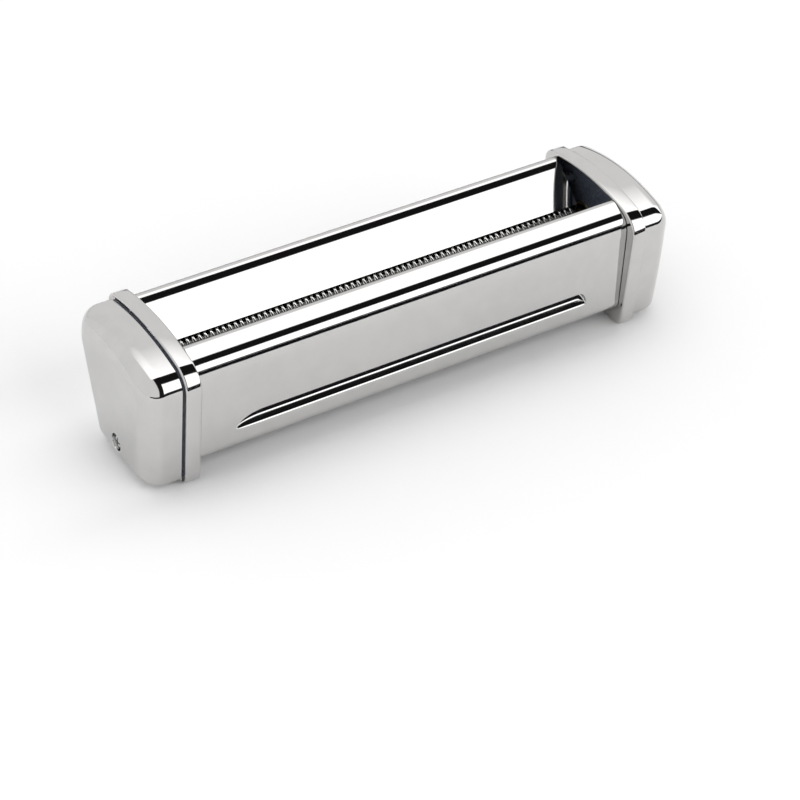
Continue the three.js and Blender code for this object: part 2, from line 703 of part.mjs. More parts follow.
/** Adds one named piece, given as a geometry or a solid. */
function add(name, piece, material) {
  const mesh = new THREE.Mesh(piece.isBufferGeometry ? piece : toGeometry(piece), material);
  mesh.name = name;
  root.add(mesh);
}

/** Adds the +X piece as it is, and its mirror image at -X. */
function addPair(name, makePiece, material) {
  for (const [end, sign] of [["left", -1], ["right", 1]]) {
    const made = makePiece(end === "right");
    const solid = made.isBufferGeometry ? toSolid(made) : made;
    add(`${name}_${end}`, sign > 0 ? solid : solid.mirror([1, 0, 0]), material);
  }
}

add("front_cover", frontCover(), CHROME);
add("back_cover", sheetCover(backCoverPath()), CHROME);
addPair("collar", collar, CHROME);
addPair("side_plate", sidePlate, DARK_SATIN);
addPair("end_cap", endCap, CHROME);
addPair("cap_screw", capScrew, ZINC);

const SIDES = { front: -1, back: 1 };
for (const [name, side] of Object.entries(SIDES)) {
  const axis = [side * ROLLER_AXIS_Y, ROLLER_AXIS_Z];
  const ridges = side > 0 ? RIDGE_COUNT : RIDGE_COUNT - 1;
  const phase = side > 0 ? Math.PI / GEAR_TEETH : 0;
  const ringX = { left: -LEFT_RING_X - RING_SLOT + RING_PLAY, right: RIGHT_RING_X + RING_PLAY };
  add(`cutting_roller_${name}`, turned(rollerProfile(ridges), ROLLER_SIDES, axis), STEEL);
  add(`gear_${name}`, gear(axis, phase), STEEL);
  addPair(`bush_${name}`, () => bush(axis), BRONZE);
  for (const [end, x] of Object.entries(ringX)) {
    const ring = flatRing(RING_RADIUS, RING_BORE_RADIUS, x, x + RING_THICKNESS, axis, 16);
    add(`retaining_ring_${name}_${end}`, ring, ZINC);
  }
  add(`comb_${name}`, comb(side, ridges), STEEL);
}
add("drive_socket", driveSocket(), STEEL);

for (const [name, place] of Object.entries(ROD_PLACES)) {
  add(`tie_rod_${name}`, tieRod(place), ZINC);
  addPair(`tie_rod_nut_${name}`, () => nut(place), ZINC);
}

export default root;
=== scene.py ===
"""Finished model of a hand-cranked pasta cutter head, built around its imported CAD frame.

Each class makes one sub-assembly: its fields are sizes, and its methods work out the surfaces and dress them.
Sizes are in millimetres: X runs along the rollers towards the drive end, Y points to the back and Z is up.
"""

import logging
import math
from collections.abc import Iterable, Sequence
from dataclasses import dataclass, replace
from enum import Enum

import bpy
import numpy as np
from mathutils import Matrix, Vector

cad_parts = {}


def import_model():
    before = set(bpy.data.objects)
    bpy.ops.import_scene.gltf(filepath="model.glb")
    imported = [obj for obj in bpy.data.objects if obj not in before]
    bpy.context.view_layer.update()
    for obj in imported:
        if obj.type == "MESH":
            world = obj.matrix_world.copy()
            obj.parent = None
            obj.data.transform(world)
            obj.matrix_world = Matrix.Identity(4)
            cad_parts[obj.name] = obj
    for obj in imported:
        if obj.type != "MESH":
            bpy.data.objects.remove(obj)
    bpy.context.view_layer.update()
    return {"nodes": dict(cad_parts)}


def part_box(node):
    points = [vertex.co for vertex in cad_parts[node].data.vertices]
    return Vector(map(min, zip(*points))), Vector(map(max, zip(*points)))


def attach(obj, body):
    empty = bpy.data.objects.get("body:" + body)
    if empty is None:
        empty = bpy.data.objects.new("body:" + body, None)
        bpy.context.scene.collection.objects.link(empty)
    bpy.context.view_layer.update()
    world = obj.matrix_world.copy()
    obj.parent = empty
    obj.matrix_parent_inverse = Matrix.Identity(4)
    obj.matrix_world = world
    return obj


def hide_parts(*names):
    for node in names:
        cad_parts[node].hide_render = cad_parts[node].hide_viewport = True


LOG = logging.getLogger("cutter_head")
MM = 0.001
SMOOTH_TURN = math.radians(50)  # edges that turn more than this stay sharp
ROLLER_AXIS_Y = 12.0  # either side of the middle
ROLLER_AXIS_Z = 32.5
CAP_STEP = 2.4  # how far a cap stands in from its collar
BLACK = (0.01, 0.01, 0.012, 1.0)

Array = np.ndarray
Place = tuple[float, float]
Value = float | Sequence[float] | bpy.types.NodeSocket
SCREW_PLACE: Place = (-4.0, 11.2)


class End(Enum):
    """The two ends of the head, with the sign of their X."""

    LEFT = -1
    RIGHT = 1


class Side(Enum):
    """The two rollers' sides, with the sign of their Y."""

    FRONT = -1
    BACK = 1

    @property
    def axis(self) -> Place:
        """(y, z) of the axis of the roller on this side."""
        return self.value * ROLLER_AXIS_Y, ROLLER_AXIS_Z


class Closing(Enum):
    """How the first and last ring of a tube are closed."""

    FLAT = "flat"
    JOINED = "joined"


class Slot(Enum):
    """Material slots of the record."""

    CHROME = "chrome_shell"
    ENAMEL = "dark_plate"
    CUTTER = "cutter_steel"
    GEAR = "gear_steel"
    BRONZE = "bronze"
    ZINC = "zinc_steel"


RIDGES = {Side.FRONT: 72, Side.BACK: 73}  # one roller's ridges stand in the other's gaps


# ---------------------------------------------------------------- surfaces


def ring_faces(rings: int, count: int, closing: Closing) -> Array:
    """Quads between neighbouring rings of a tube.

    Args:
        rings: number of rings.
        count: points in each ring, the last one next to the first.
        closing: JOINED also ties the last ring to the first.

    Returns:
        Vertex numbers, four to a row.
    """
    last = rings if closing is Closing.JOINED else rings - 1
    row, column = np.meshgrid(np.arange(last), np.arange(count), indexing="ij")
    here, beside = row * count, ((row + 1) % rings) * count
    after = (column + 1) % count
    return np.stack([here + column, here + after, beside + after, beside + column], -1).reshape(-1, 4)


def volume(points: Array, quads: Array, caps: Sequence[Array]) -> float:
    """Signed volume inside closed faces: a sixth of the sum of the triple products of fanned triangles.

    Args:
        points: vertex places.
        quads: four-sided faces.
        caps: faces with more sides.

    Returns:
        The volume, positive where the faces point outwards.
    """
    fans = [quads[:, [0, 1, 2]], quads[:, [0, 2, 3]]]
    fans += [np.stack([np.full(len(cap) - 2, cap[0]), cap[1:-1], cap[2:]], -1) for cap in caps]
    corners = points[np.concatenate(fans)]
    return float(np.einsum("ij,ij->i", corners[:, 0], np.cross(corners[:, 1], corners[:, 2])).sum() / 6)


@dataclass
class Shell:
    """One closed surface: vertex places in millimetres, quads, and faces with more sides."""

    points: Array
    quads: Array
    caps: list[Array]

    @classmethod
    def tube(cls, rings: Array, closing: Closing = Closing.FLAT) -> "Shell":
        """A closed surface through rings of points.

        Args:
            rings: array of ring, point and coordinate.
            closing: FLAT puts a flat face on each end ring.

        Returns:
            The shell.
        """
        total, count = rings.shape[:2]
        points = rings.reshape(-1, 3)
        caps: list[Array] = []
        if closing is Closing.FLAT:
            first = np.arange(count)
            caps = [first[::-1], first + (total - 1) * count]
        return cls(points, ring_faces(total, count, closing), caps)

    @classmethod
    def sheet(cls, outer: Array, inner: Array) -> "Shell":
        """A sheet between two grids: both faces, the two long edges and the two ends, all as quads.

        Args:
            outer: array of station, path point and coordinate.
            inner: the other face, point for point.

        Returns:
            The shell.
        """
        rings = np.concatenate([outer, inner[:, ::-1]], axis=1)
        total, count = rings.shape[:2]
        half = outer.shape[1]
        step = np.arange(half - 1)
        end = np.stack([step, count - 1 - step, count - 2 - step, step + 1], -1)
        quads = [ring_faces(total, count, Closing.FLAT), end, end[:, ::-1] + (total - 1) * count]
        return cls(rings.reshape(-1, 3), np.concatenate(quads), [])

    def mirrored(self, end: End) -> "Shell":
        """The shell as it is for the right end, and its mirror image in the plane X = 0 for the left."""
        return replace(self, points=self.points * np.array([end.value, 1, 1]))

    def outwards(self) -> "Shell":
        """The same shell with its faces pointing outwards.

        Returns:
            This shell, or one with every face turned round where its volume comes out negative.
        """
        if volume(self.points, self.quads, self.caps) > 0:
            return self
        return replace(self, quads=self.quads[:, ::-1], caps=[cap[::-1] for cap in self.caps])


def make_piece(name: str, *shells: Shell, smooth_turn: float = SMOOTH_TURN) -> bpy.types.Object:
    """Puts closed shells into one mesh object at the origin.

    Args:
        name: the piece's name.
        shells: its closed surfaces.
        smooth_turn: edges that turn more than this angle stay sharp.

    Returns:
        The new object.
    """
    points: list[Array] = []
    faces: list[list[int]] = []
    start = 0
    for shell in (shell.outwards() for shell in shells):
        points.append(shell.points * MM)
        faces += (shell.quads + start).tolist()
        faces += [(cap + start).tolist() for cap in shell.caps]
        start += len(shell.points)
    mesh = bpy.data.meshes.new(name)
    mesh.from_pydata(np.concatenate(points), [], faces)
    smooth(mesh, smooth_turn)
    piece = bpy.data.objects.new(name, mesh)
    bpy.context.scene.collection.objects.link(piece)
    return piece


def smooth(mesh: bpy.types.Mesh, turn: float) -> None:
    """Shades a mesh smooth except at edges that turn more than an angle.

    Args:
        mesh: the mesh.
        turn: the angle in radians.
    """
    mesh.polygons.foreach_set("use_smooth", np.ones(len(mesh.polygons), bool))
    mesh.set_sharp_from_angle(angle=turn)
    mesh.update()


def combine(piece: bpy.types.Object, tool: bpy.types.Object, operation: str) -> None:
    """Cuts a piece with another object, or joins or intersects them, and removes the other object.

    Args:
        piece: the object that is changed.
        tool: the object it is combined with.
        operation: DIFFERENCE, UNION or INTERSECT.
    """
    modifier = piece.modifiers.new("combine", "BOOLEAN")
    modifier.solver, modifier.operation, modifier.object = "EXACT", operation, tool
    graph = bpy.context.evaluated_depsgraph_get()
    made = bpy.data.meshes.new_from_object(piece.evaluated_get(graph))
    piece.modifiers.clear()
    piece.data = made
    bpy.data.objects.remove(tool)


def arc(centre: Place, radius: float, start: float, stop: float, count: int) -> Array:
    """Points of an arc: the centre plus the radius times the cosine and sine of evenly spaced angles.

    Args:
        centre: its (y, z).
        radius: its radius.
        start: first angle in radians.
        stop: last angle.
        count: number of points, ends included.

    Returns:
        Array of (y, z).
    """
    angle = np.linspace(start, stop, count)
    return np.stack([centre[0] + radius * np.cos(angle), centre[1] + radius * np.sin(angle)], -1)


def line(start: Array, stop: Array, count: int) -> Array:
    """Evenly spaced points of a straight line, without its two ends."""
    share = np.linspace(0, 1, count + 2)[1:-1, None]
    return np.asarray(start) * (1 - share) + np.asarray(stop) * share


def folded(corners: Sequence[tuple[float, float, float]], arc_points: int, line_points: int) -> Array:
    """An open path through corners, each inner one rounded by an arc that touches both of its lines.

    The arc's ends lie the radius over the tangent of half the inner angle from the corner.

    Args:
        corners: (y, z, radius) of each corner.
        arc_points: points of each arc.
        line_points: points inside each straight line.

    Returns:
        Array of (y, z).
    """
    path = [np.array([corners[0][:2]])]
    for before, here, after in zip(corners, corners[1:], corners[2:]):
        corner = np.array(here[:2])
        back, ahead = np.array(before[:2]) - corner, np.array(after[:2]) - corner
        back, ahead = back / np.linalg.norm(back), ahead / np.linalg.norm(ahead)
        half = math.acos(float(np.clip(back @ ahead, -1, 1))) / 2
        middle = (back + ahead) / np.linalg.norm(back + ahead)
        centre = corner + middle * here[2] / math.sin(half)
        first = corner + back * here[2] / math.tan(half) - centre
        turn = math.copysign(math.pi - 2 * half, back[0] * ahead[1] - back[1] * ahead[0])
        start = math.atan2(first[1], first[0])
        bend = arc((centre[0], centre[1]), here[2], start, start - turn, arc_points)
        path += [line(path[-1][-1], bend[0], line_points), bend]
    last = np.array(corners[-1][:2])
    path += [line(path[-1][-1], last, line_points), last[None]]
    return np.concatenate(path)


def normals(path: Array) -> Array:
    """Unit normals to the right of a path, from the difference of each point's neighbours.

    Args:
        path: array of (y, z).

    Returns:
        A unit vector for each point.
    """
    along = np.gradient(path, axis=0)
    along /= np.linalg.norm(along, axis=1, keepdims=True)
    return np.stack([along[:, 1], -along[:, 0]], -1)


def at_x(outline: Array, x: float) -> Array:
    """A ring of 3-D points: a (y, z) outline at one X."""
    return np.column_stack([np.full(len(outline), x), outline])


def softened(profile: Array, size: float) -> Array:
    """A polyline with each inner corner cut back by a size, or by half of a shorter side.

    Args:
        profile: array of points.
        size: how far the cut starts from the corner.

    Returns:
        The profile with two points for each inner corner.
    """
    steps = np.diff(profile, axis=0)
    length = np.linalg.norm(steps, axis=1, keepdims=True)
    cut = np.minimum(size, 0.48 * length) * steps / np.maximum(length, 1e-9)
    inner = np.stack([profile[1:-1] - cut[:-1], profile[1:-1] + cut[1:]], 1).reshape(-1, 2)
    return np.concatenate([profile[:1], inner, profile[-1:]])


def turned(profile: Array, axis: Place, segments: int) -> Array:
    """Rings of a turned part: at each (x, radius), the radius times cosine and sine about the axis.

    Args:
        profile: array of (x, radius); the radius may also be an array of ring and segment.
        axis: (y, z) of the axis.
        segments: points in each ring.

    Returns:
        Array of ring, point and coordinate.
    """
    angle = np.linspace(0, 2 * math.pi, segments, endpoint=False)
    return radial(profile[:, 0], np.repeat(profile[:, 1:], segments, 1), axis, angle)


def radial(x: Array, radius: Array, axis: Place, angle: Array) -> Array:
    """Rings about an axis along X, whose radius depends on ring and angle.

    Args:
        x: X of each ring.
        radius: array of ring and angle.
        axis: (y, z) of the axis.
        angle: angle of each point of a ring.

    Returns:
        Array of ring, point and coordinate.
    """
    across = np.broadcast_to(x[:, None], radius.shape)
    return np.stack([across, axis[0] + radius * np.cos(angle), axis[1] + radius * np.sin(angle)], -1)


def hexagon(across_flats: float, angle: Array) -> Array:
    """Radius of a hexagon at an angle: half its width over the cosine of the angle from the nearest flat."""
    from_flat = np.mod(angle, math.pi / 3) - math.pi / 6
    return across_flats / 2 / np.cos(from_flat)


def reach(outline: Array, centre: Place, angle: Array) -> Array:
    """Distance from a centre to a closed outline in each direction.

    Each direction's ray is crossed with every side: the crossing's share of the side has to lie between 0 and 1.

    Args:
        outline: closed (y, z) outline that the centre sees all of.
        centre: (y, z).
        angle: directions in radians.

    Returns:
        The distance in each direction.
    """
    start = outline - np.array(centre)
    side = np.roll(start, -1, axis=0) - start
    ray = np.stack([np.cos(angle), np.sin(angle)], -1)[:, None]
    lean = ray[..., 0] * side[None, :, 1] - ray[..., 1] * side[None, :, 0]
    lean = np.where(np.abs(lean) < 1e-12, 1e-12, lean)
    share = (start[None, :, 0] * ray[..., 1] - start[None, :, 1] * ray[..., 0]) / lean
    far = (start[None, :, 0] * side[None, :, 1] - start[None, :, 1] * side[None, :, 0]) / lean
    hit = (share >= -1e-6) & (share <= 1 + 1e-6) & (far > 0)
    return np.where(hit, far, 0).max(axis=1)


# ---------------------------------------------------------------- shader wiring


@dataclass
class Wiring:
    """Adds nodes to one shader tree and links them."""

    tree: bpy.types.NodeTree

    def put(self, kind: str, sockets: dict[str | int, Value], **settings: object) -> bpy.types.Node:
        """Adds a node.

        Args:
            kind: the node's type, without its ShaderNode prefix.
            sockets: value or source of each input.
            settings: properties of the node.

        Returns:
            The new node.
        """
        node = self.tree.nodes.new("ShaderNode" + kind)
        for name, setting in settings.items():
            setattr(node, name, setting)
        for name, value in sockets.items():
            if isinstance(value, bpy.types.NodeSocket):
                self.tree.links.new(value, node.inputs[name])
            else:
                node.inputs[name].default_value = value
        return node

    def group(self, tree: bpy.types.NodeTree, sockets: dict[str, Value]) -> bpy.types.Node:
        """Adds a shared effect.

        Args:
            tree: the effect's node group.
            sockets: value or source of each of its inputs.

        Returns:
            The new node.
        """
        node = self.put("Group", {}, node_tree=tree)
        for name, value in sockets.items():
            node.inputs[name].default_value = value
        return node

    def place(self) -> bpy.types.NodeSocket:
        """Place on the object, in metres."""
        return self.put("TexCoord", {}).outputs["Object"]

    def stretched(self, stretch: Sequence[float]) -> bpy.types.NodeSocket:
        """Place on the object, scaled by a factor along each axis."""
        return self.put("Mapping", {"Vector": self.place(), "Scale": stretch}).outputs["Vector"]


@dataclass(frozen=True)
class Effect:
    """A shader node group in the making: its name and its inputs with their usual values."""

    name: str
    inputs: tuple[tuple[str, float], ...]
    outputs: tuple[str, ...]

    def start(self) -> tuple[Wiring, bpy.types.Node, bpy.types.Node]:
        """Makes the group and its sockets.

        Returns:
            Its wiring, its input node and its output node.
        """
        tree = bpy.data.node_groups.new(self.name, "ShaderNodeTree")
        for name, usual in self.inputs:
            socket = tree.interface.new_socket(name, in_out="INPUT", socket_type="NodeSocketFloat")
            socket.default_value = usual
        for name in self.outputs:
            tree.interface.new_socket(name, in_out="OUTPUT", socket_type="NodeSocketFloat")
        return Wiring(tree), tree.nodes.new("NodeGroupInput"), tree.nodes.new("NodeGroupOutput")


def cloudy_polish() -> bpy.types.NodeTree:
    """Slow changes of gloss left by polishing and wiping: two sizes of noise between a low and a high value.

    Returns:
        The node group.
    """
    wiring, given, out = Effect(
        "cloudy_polish", (("Scale", 18.0), ("Low", 0.05), ("High", 0.1)), ("Value", "Mask")
    ).start()
    place = wiring.place()
    broad = wiring.put("TexNoise", {"Vector": place, "Scale": given.outputs["Scale"], "Detail": 3.0})
    finer = wiring.put("Math", {0: given.outputs["Scale"], 1: 6.0}, operation="MULTIPLY")
    fine = wiring.put("TexNoise", {"Vector": place, "Scale": finer.outputs[0], "Detail": 5.0})
    mixed = wiring.put("Math", {0: broad.outputs["Fac"], 1: fine.outputs["Fac"]}, operation="MULTIPLY")
    value = wiring.put(
        "MapRange",
        {"Value": mixed.outputs[0], "From Min": 0.14, "From Max": 0.38,
         "To Min": given.outputs["Low"], "To Max": given.outputs["High"]},
    )
    mask = wiring.put("MapRange", {"Value": mixed.outputs[0], "From Min": 0.16, "From Max": 0.36})
    wiring.tree.links.new(value.outputs[0], out.inputs["Value"])
    wiring.tree.links.new(mask.outputs[0], out.inputs["Mask"])
    return wiring.tree


def hair_scratches() -> bpy.types.NodeTree:
    """Fine scratches: noise stretched a hundredfold along X and along a slant, kept where it peaks.

    Returns:
        The node group.
    """
    wiring, given, out = Effect("hair_scratches", (("Scale", 60.0), ("Depth", 1.0)), ("Height",)).start()
    heights = []
    for stretch, slant in (((1.0, 90.0, 90.0), 0.0), ((60.0, 1.5, 60.0), 0.35)):
        mapping = wiring.put("Mapping", {"Vector": wiring.place(), "Scale": stretch, "Rotation": (slant, 0.0, slant)})
        noise = wiring.put(
            "TexNoise", {"Vector": mapping.outputs[0], "Scale": given.outputs["Scale"], "Detail": 1.0}
        )
        peak = wiring.put("MapRange", {"Value": noise.outputs["Fac"], "From Min": 0.6, "From Max": 0.75})
        heights.append(peak.outputs[0])
    both = wiring.put("Math", {0: heights[0], 1: heights[1]}, operation="MAXIMUM")
    deep = wiring.put("Math", {0: both.outputs[0], 1: given.outputs["Depth"]}, operation="MULTIPLY")
    wiring.tree.links.new(deep.outputs[0], out.inputs["Height"])
    return wiring.tree


def turning_marks() -> bpy.types.NodeTree:
    """Rings left by a lathe: a wave along X of the given pitch in metres, broken up by noise.

    Returns:
        The node group.
    """
    wiring, given, out = Effect("turning_marks", (("Pitch", 0.0002), ("Breakup", 0.4)), ("Height", "Mask")).start()
    split = wiring.put("SeparateXYZ", {"Vector": wiring.place()})
    turns = wiring.put("Math", {0: split.outputs["X"], 1: given.outputs["Pitch"]}, operation="DIVIDE")
    wave = wiring.put("Math", {0: turns.outputs[0], 1: 0.5}, operation="PINGPONG")
    noise = wiring.put("TexNoise", {"Vector": wiring.stretched((900.0, 40.0, 40.0)), "Scale": 1.0, "Detail": 4.0})
    broken = wiring.put("Math", {0: noise.outputs["Fac"], 1: given.outputs["Breakup"]}, operation="MULTIPLY")
    height = wiring.put("Math", {0: wave.outputs[0], 1: broken.outputs[0]}, operation="ADD")
    wiring.tree.links.new(height.outputs[0], out.inputs["Height"])
    wiring.tree.links.new(noise.outputs["Fac"], out.inputs["Mask"])
    return wiring.tree


def fine_grain() -> bpy.types.NodeTree:
    """Speckle of enamel, casting skin or sintered metal: cells of the given scale, softened by noise.

    Returns:
        The node group.
    """
    wiring, given, out = Effect("fine_grain", (("Scale", 1500.0), ("Contrast", 0.5)), ("Height", "Mask")).start()
    place = wiring.place()
    cells = wiring.put("TexVoronoi", {"Vector": place, "Scale": given.outputs["Scale"]})
    noise = wiring.put("TexNoise", {"Vector": place, "Scale": given.outputs["Scale"], "Detail": 2.0})
    height = wiring.put("Math", {0: cells.outputs["Distance"], 1: noise.outputs["Fac"]}, operation="MULTIPLY")
    half = wiring.put("Math", {0: noise.outputs["Fac"], 1: 0.5}, operation="SUBTRACT")
    mask = wiring.put(
        "Math", {0: half.outputs[0], 1: given.outputs["Contrast"], 2: 0.5}, operation="MULTIPLY_ADD", use_clamp=True
    )
    wiring.tree.links.new(height.outputs[0], out.inputs["Height"])
    wiring.tree.links.new(mask.outputs[0], out.inputs["Mask"])
    return wiring.tree


@dataclass(frozen=True)
class Effects:
    """The node groups that the finishes share."""

    polish: bpy.types.NodeTree
    scratches: bpy.types.NodeTree
    turning: bpy.types.NodeTree
    grain: bpy.types.NodeTree

    @classmethod
    def make(cls) -> "Effects":
        """Builds each group once."""
        return cls(cloudy_polish(), hair_scratches(), turning_marks(), fine_grain())


# ---------------------------------------------------------------- finishes


@dataclass(frozen=True)
class Finish:
    """A metal finish: two tones of its colour and the range of its roughness."""

    effects: Effects
    name: str = "finish"
    tone: tuple[float, float, float] = (0.7, 0.7, 0.7)
    other_tone: tuple[float, float, float] = (0.65, 0.65, 0.65)
    metallic: float = 1.0
    gloss: tuple[float, float] = (0.1, 0.2)
    cloud_scale: float = 20.0

    def relief(self, wiring: Wiring) -> bpy.types.NodeSocket:
        """Normal of the finish's fine relief."""
        scratches = wiring.group(self.effects.scratches, {"Scale": 60.0, "Depth": 1.0})
        return self.bump(wiring, scratches.outputs["Height"], 0.05, 2e-6)

    def bump(
        self, wiring: Wiring, height: bpy.types.NodeSocket, strength: float, distance: float
    ) -> bpy.types.NodeSocket:
        """A bump's normal.

        Args:
            wiring: the material's wiring.
            height: height over the surface.
            strength: how much of it shows.
            distance: depth in metres.

        Returns:
            The normal output.
        """
        return wiring.put("Bump", {"Height": height, "Strength": strength, "Distance": distance}).outputs[0]

    def mask(self, wiring: Wiring, cloud: bpy.types.Node) -> bpy.types.NodeSocket:
        """Where the second tone shows."""
        return cloud.outputs["Mask"]

    def material(self) -> bpy.types.Material:
        """Builds the material.

        Returns:
            The material, with one Principled surface.
        """
        material = bpy.data.materials.new(self.name)
        material.use_nodes = True
        tree = material.node_tree
        surface = tree.nodes["Principled BSDF"]
        wiring = Wiring(tree)
        cloud = wiring.group(
            self.effects.polish, {"Scale": self.cloud_scale, "Low": self.gloss[0], "High": self.gloss[1]}
        )
        colour = wiring.put(
            "Mix",
            {"Factor": self.mask(wiring, cloud), 6: (*self.tone, 1.0), 7: (*self.other_tone, 1.0)},
            data_type="RGBA",
        )
        surface.inputs["Metallic"].default_value = self.metallic
        tree.links.new(colour.outputs[2], surface.inputs["Base Color"])
        tree.links.new(cloud.outputs["Value"], surface.inputs["Roughness"])
        tree.links.new(self.relief(wiring), surface.inputs["Normal"])
        return material


@dataclass(frozen=True)
class ChromeFinish(Finish):
    """Mirror-polished chromium plate on pressed sheet."""

    name: str = "chrome_plate"
    tone: tuple[float, float, float] = (0.585, 0.577, 0.568)
    other_tone: tuple[float, float, float] = (0.555, 0.550, 0.545)
    gloss: tuple[float, float] = (0.035, 0.075)
    wave_depth: float = 4e-5

    def relief(self, wiring: Wiring) -> bpy.types.NodeSocket:
        """Slow waves of the pressed sheet under a few hair scratches.

        Args:
            wiring: the material's wiring.

        Returns:
            The normal output.
        """
        waves = wiring.put("TexNoise", {"Vector": wiring.place(), "Scale": 14.0, "Detail": 0.0})
        scratches = wiring.group(self.effects.scratches, {"Scale": 45.0, "Depth": 0.02})
        height = wiring.put("Math", {0: waves.outputs["Fac"], 1: scratches.outputs["Height"]}, operation="ADD")
        return self.bump(wiring, height.outputs[0], 1.0, self.wave_depth)


@dataclass(frozen=True)
class EnamelFinish(Finish):
    """Dark blue-grey satin enamel with a fine grain."""

    name: str = "dark_enamel"
    tone: tuple[float, float, float] = (0.028, 0.036, 0.055)
    other_tone: tuple[float, float, float] = (0.085, 0.098, 0.125)
    metallic: float = 0.0
    gloss: tuple[float, float] = (0.32, 0.48)

    def mask(self, wiring: Wiring, cloud: bpy.types.Node) -> bpy.types.NodeSocket:
        """The grain lightens the enamel in specks."""
        return wiring.group(self.effects.grain, {"Scale": 1400.0, "Contrast": 4.0}).outputs["Mask"]

    def relief(self, wiring: Wiring) -> bpy.types.NodeSocket:
        """The grain as relief."""
        grain = wiring.group(self.effects.grain, {"Scale": 1400.0, "Contrast": 1.0})
        return self.bump(wiring, grain.outputs["Height"], 0.35, 1e-4)


@dataclass(frozen=True)
class TurnedSteelFinish(Finish):
    """Bright steel straight from the lathe."""

    name: str = "turned_steel"
    tone: tuple[float, float, float] = (0.74, 0.74, 0.73)
    other_tone: tuple[float, float, float] = (0.62, 0.62, 0.61)
    gloss: tuple[float, float] = (0.14, 0.22)
    mark_pitch: float = 0.00018

    def relief(self, wiring: Wiring) -> bpy.types.NodeSocket:
        """The turning marks as relief."""
        marks = wiring.group(self.effects.turning, {"Pitch": self.mark_pitch, "Breakup": 0.5})
        return self.bump(wiring, marks.outputs["Height"], 0.25, 1e-5)


@dataclass(frozen=True)
class OiledGearFinish(Finish):
    """Machined steel under a film of oil."""

    name: str = "oiled_gear_steel"
    tone: tuple[float, float, float] = (0.50, 0.49, 0.46)
    other_tone: tuple[float, float, float] = (0.34, 0.32, 0.28)
    gloss: tuple[float, float] = (0.12, 0.34)
    cloud_scale: float = 70.0

    def relief(self, wiring: Wiring) -> bpy.types.NodeSocket:
        """Cutting marks across the faces."""
        marks = wiring.group(self.effects.turning, {"Pitch": 0.0003, "Breakup": 0.8})
        return self.bump(wiring, marks.outputs["Height"], 0.3, 1e-5)


@dataclass(frozen=True)
class BronzeFinish(Finish):
    """Sintered bronze, speckled with pores."""

    name: str = "sintered_bronze"
    tone: tuple[float, float, float] = (0.34, 0.29, 0.19)
    other_tone: tuple[float, float, float] = (0.22, 0.18, 0.11)
    gloss: tuple[float, float] = (0.3, 0.45)

    def mask(self, wiring: Wiring, cloud: bpy.types.Node) -> bpy.types.NodeSocket:
        """Pores show the darker tone."""
        return wiring.group(self.effects.grain, {"Scale": 2500.0, "Contrast": 3.0}).outputs["Mask"]

    def relief(self, wiring: Wiring) -> bpy.types.NodeSocket:
        """Pores as relief."""
        grain = wiring.group(self.effects.grain, {"Scale": 2500.0, "Contrast": 1.0})
        return self.bump(wiring, grain.outputs["Height"], 0.4, 5e-5)


@dataclass(frozen=True)
class ZincFinish(Finish):
    """Bright zinc plate with a bluish passivation."""

    name: str = "zinc_plate"
    tone: tuple[float, float, float] = (0.62, 0.64, 0.67)
    other_tone: tuple[float, float, float] = (0.60, 0.58, 0.50)
    gloss: tuple[float, float] = (0.2, 0.36)
    cloud_scale: float = 90.0


class Wardrobe:
    """One material for each slot of the record."""

    def __init__(self) -> None:
        """Builds the shared effects and every finish."""
        effects = Effects.make()
        finishes = {
            Slot.CHROME: ChromeFinish(effects),
            Slot.ENAMEL: EnamelFinish(effects),
            Slot.CUTTER: TurnedSteelFinish(effects),
            Slot.GEAR: OiledGearFinish(effects),
            Slot.BRONZE: BronzeFinish(effects),
            Slot.ZINC: ZincFinish(effects),
        }
        self.materials = {slot: finish.material() for slot, finish in finishes.items()}

    def dress(self, piece: bpy.types.Object, slot: Slot, body: str, *nodes: str) -> None:
        """Gives a new piece the material of its slot and its body, and hides the CAD nodes that it stands for.

        Args:
            piece: the new object.
            slot: the record's material slot.
            body: the body it moves with.
            nodes: CAD nodes that it stands for.
        """
        piece.data.materials.clear()
        piece.data.materials.append(self.materials[slot])
        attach(piece, body)
        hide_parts(*nodes)
        LOG.info("%s: %d faces on %s for %s", piece.name, len(piece.data.polygons), body, ", ".join(nodes))

    def dress_node(self, node: bpy.types.Object, slot: Slot) -> None:
        """Gives a carried-over CAD node its material.

        Args:
            node: the node's object.
            slot: the record's material slot.
        """
        node.data.materials.clear()
        node.data.materials.append(self.materials[slot])
        LOG.info("%s keeps its CAD shape", node.name)


def extent(node: str) -> tuple[Array, Array]:
    """Lowest and highest corner of a CAD node, in millimetres."""
    low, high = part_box(node)
    return np.array(low) / MM, np.array(high) / MM


# ---------------------------------------------------------------- ends


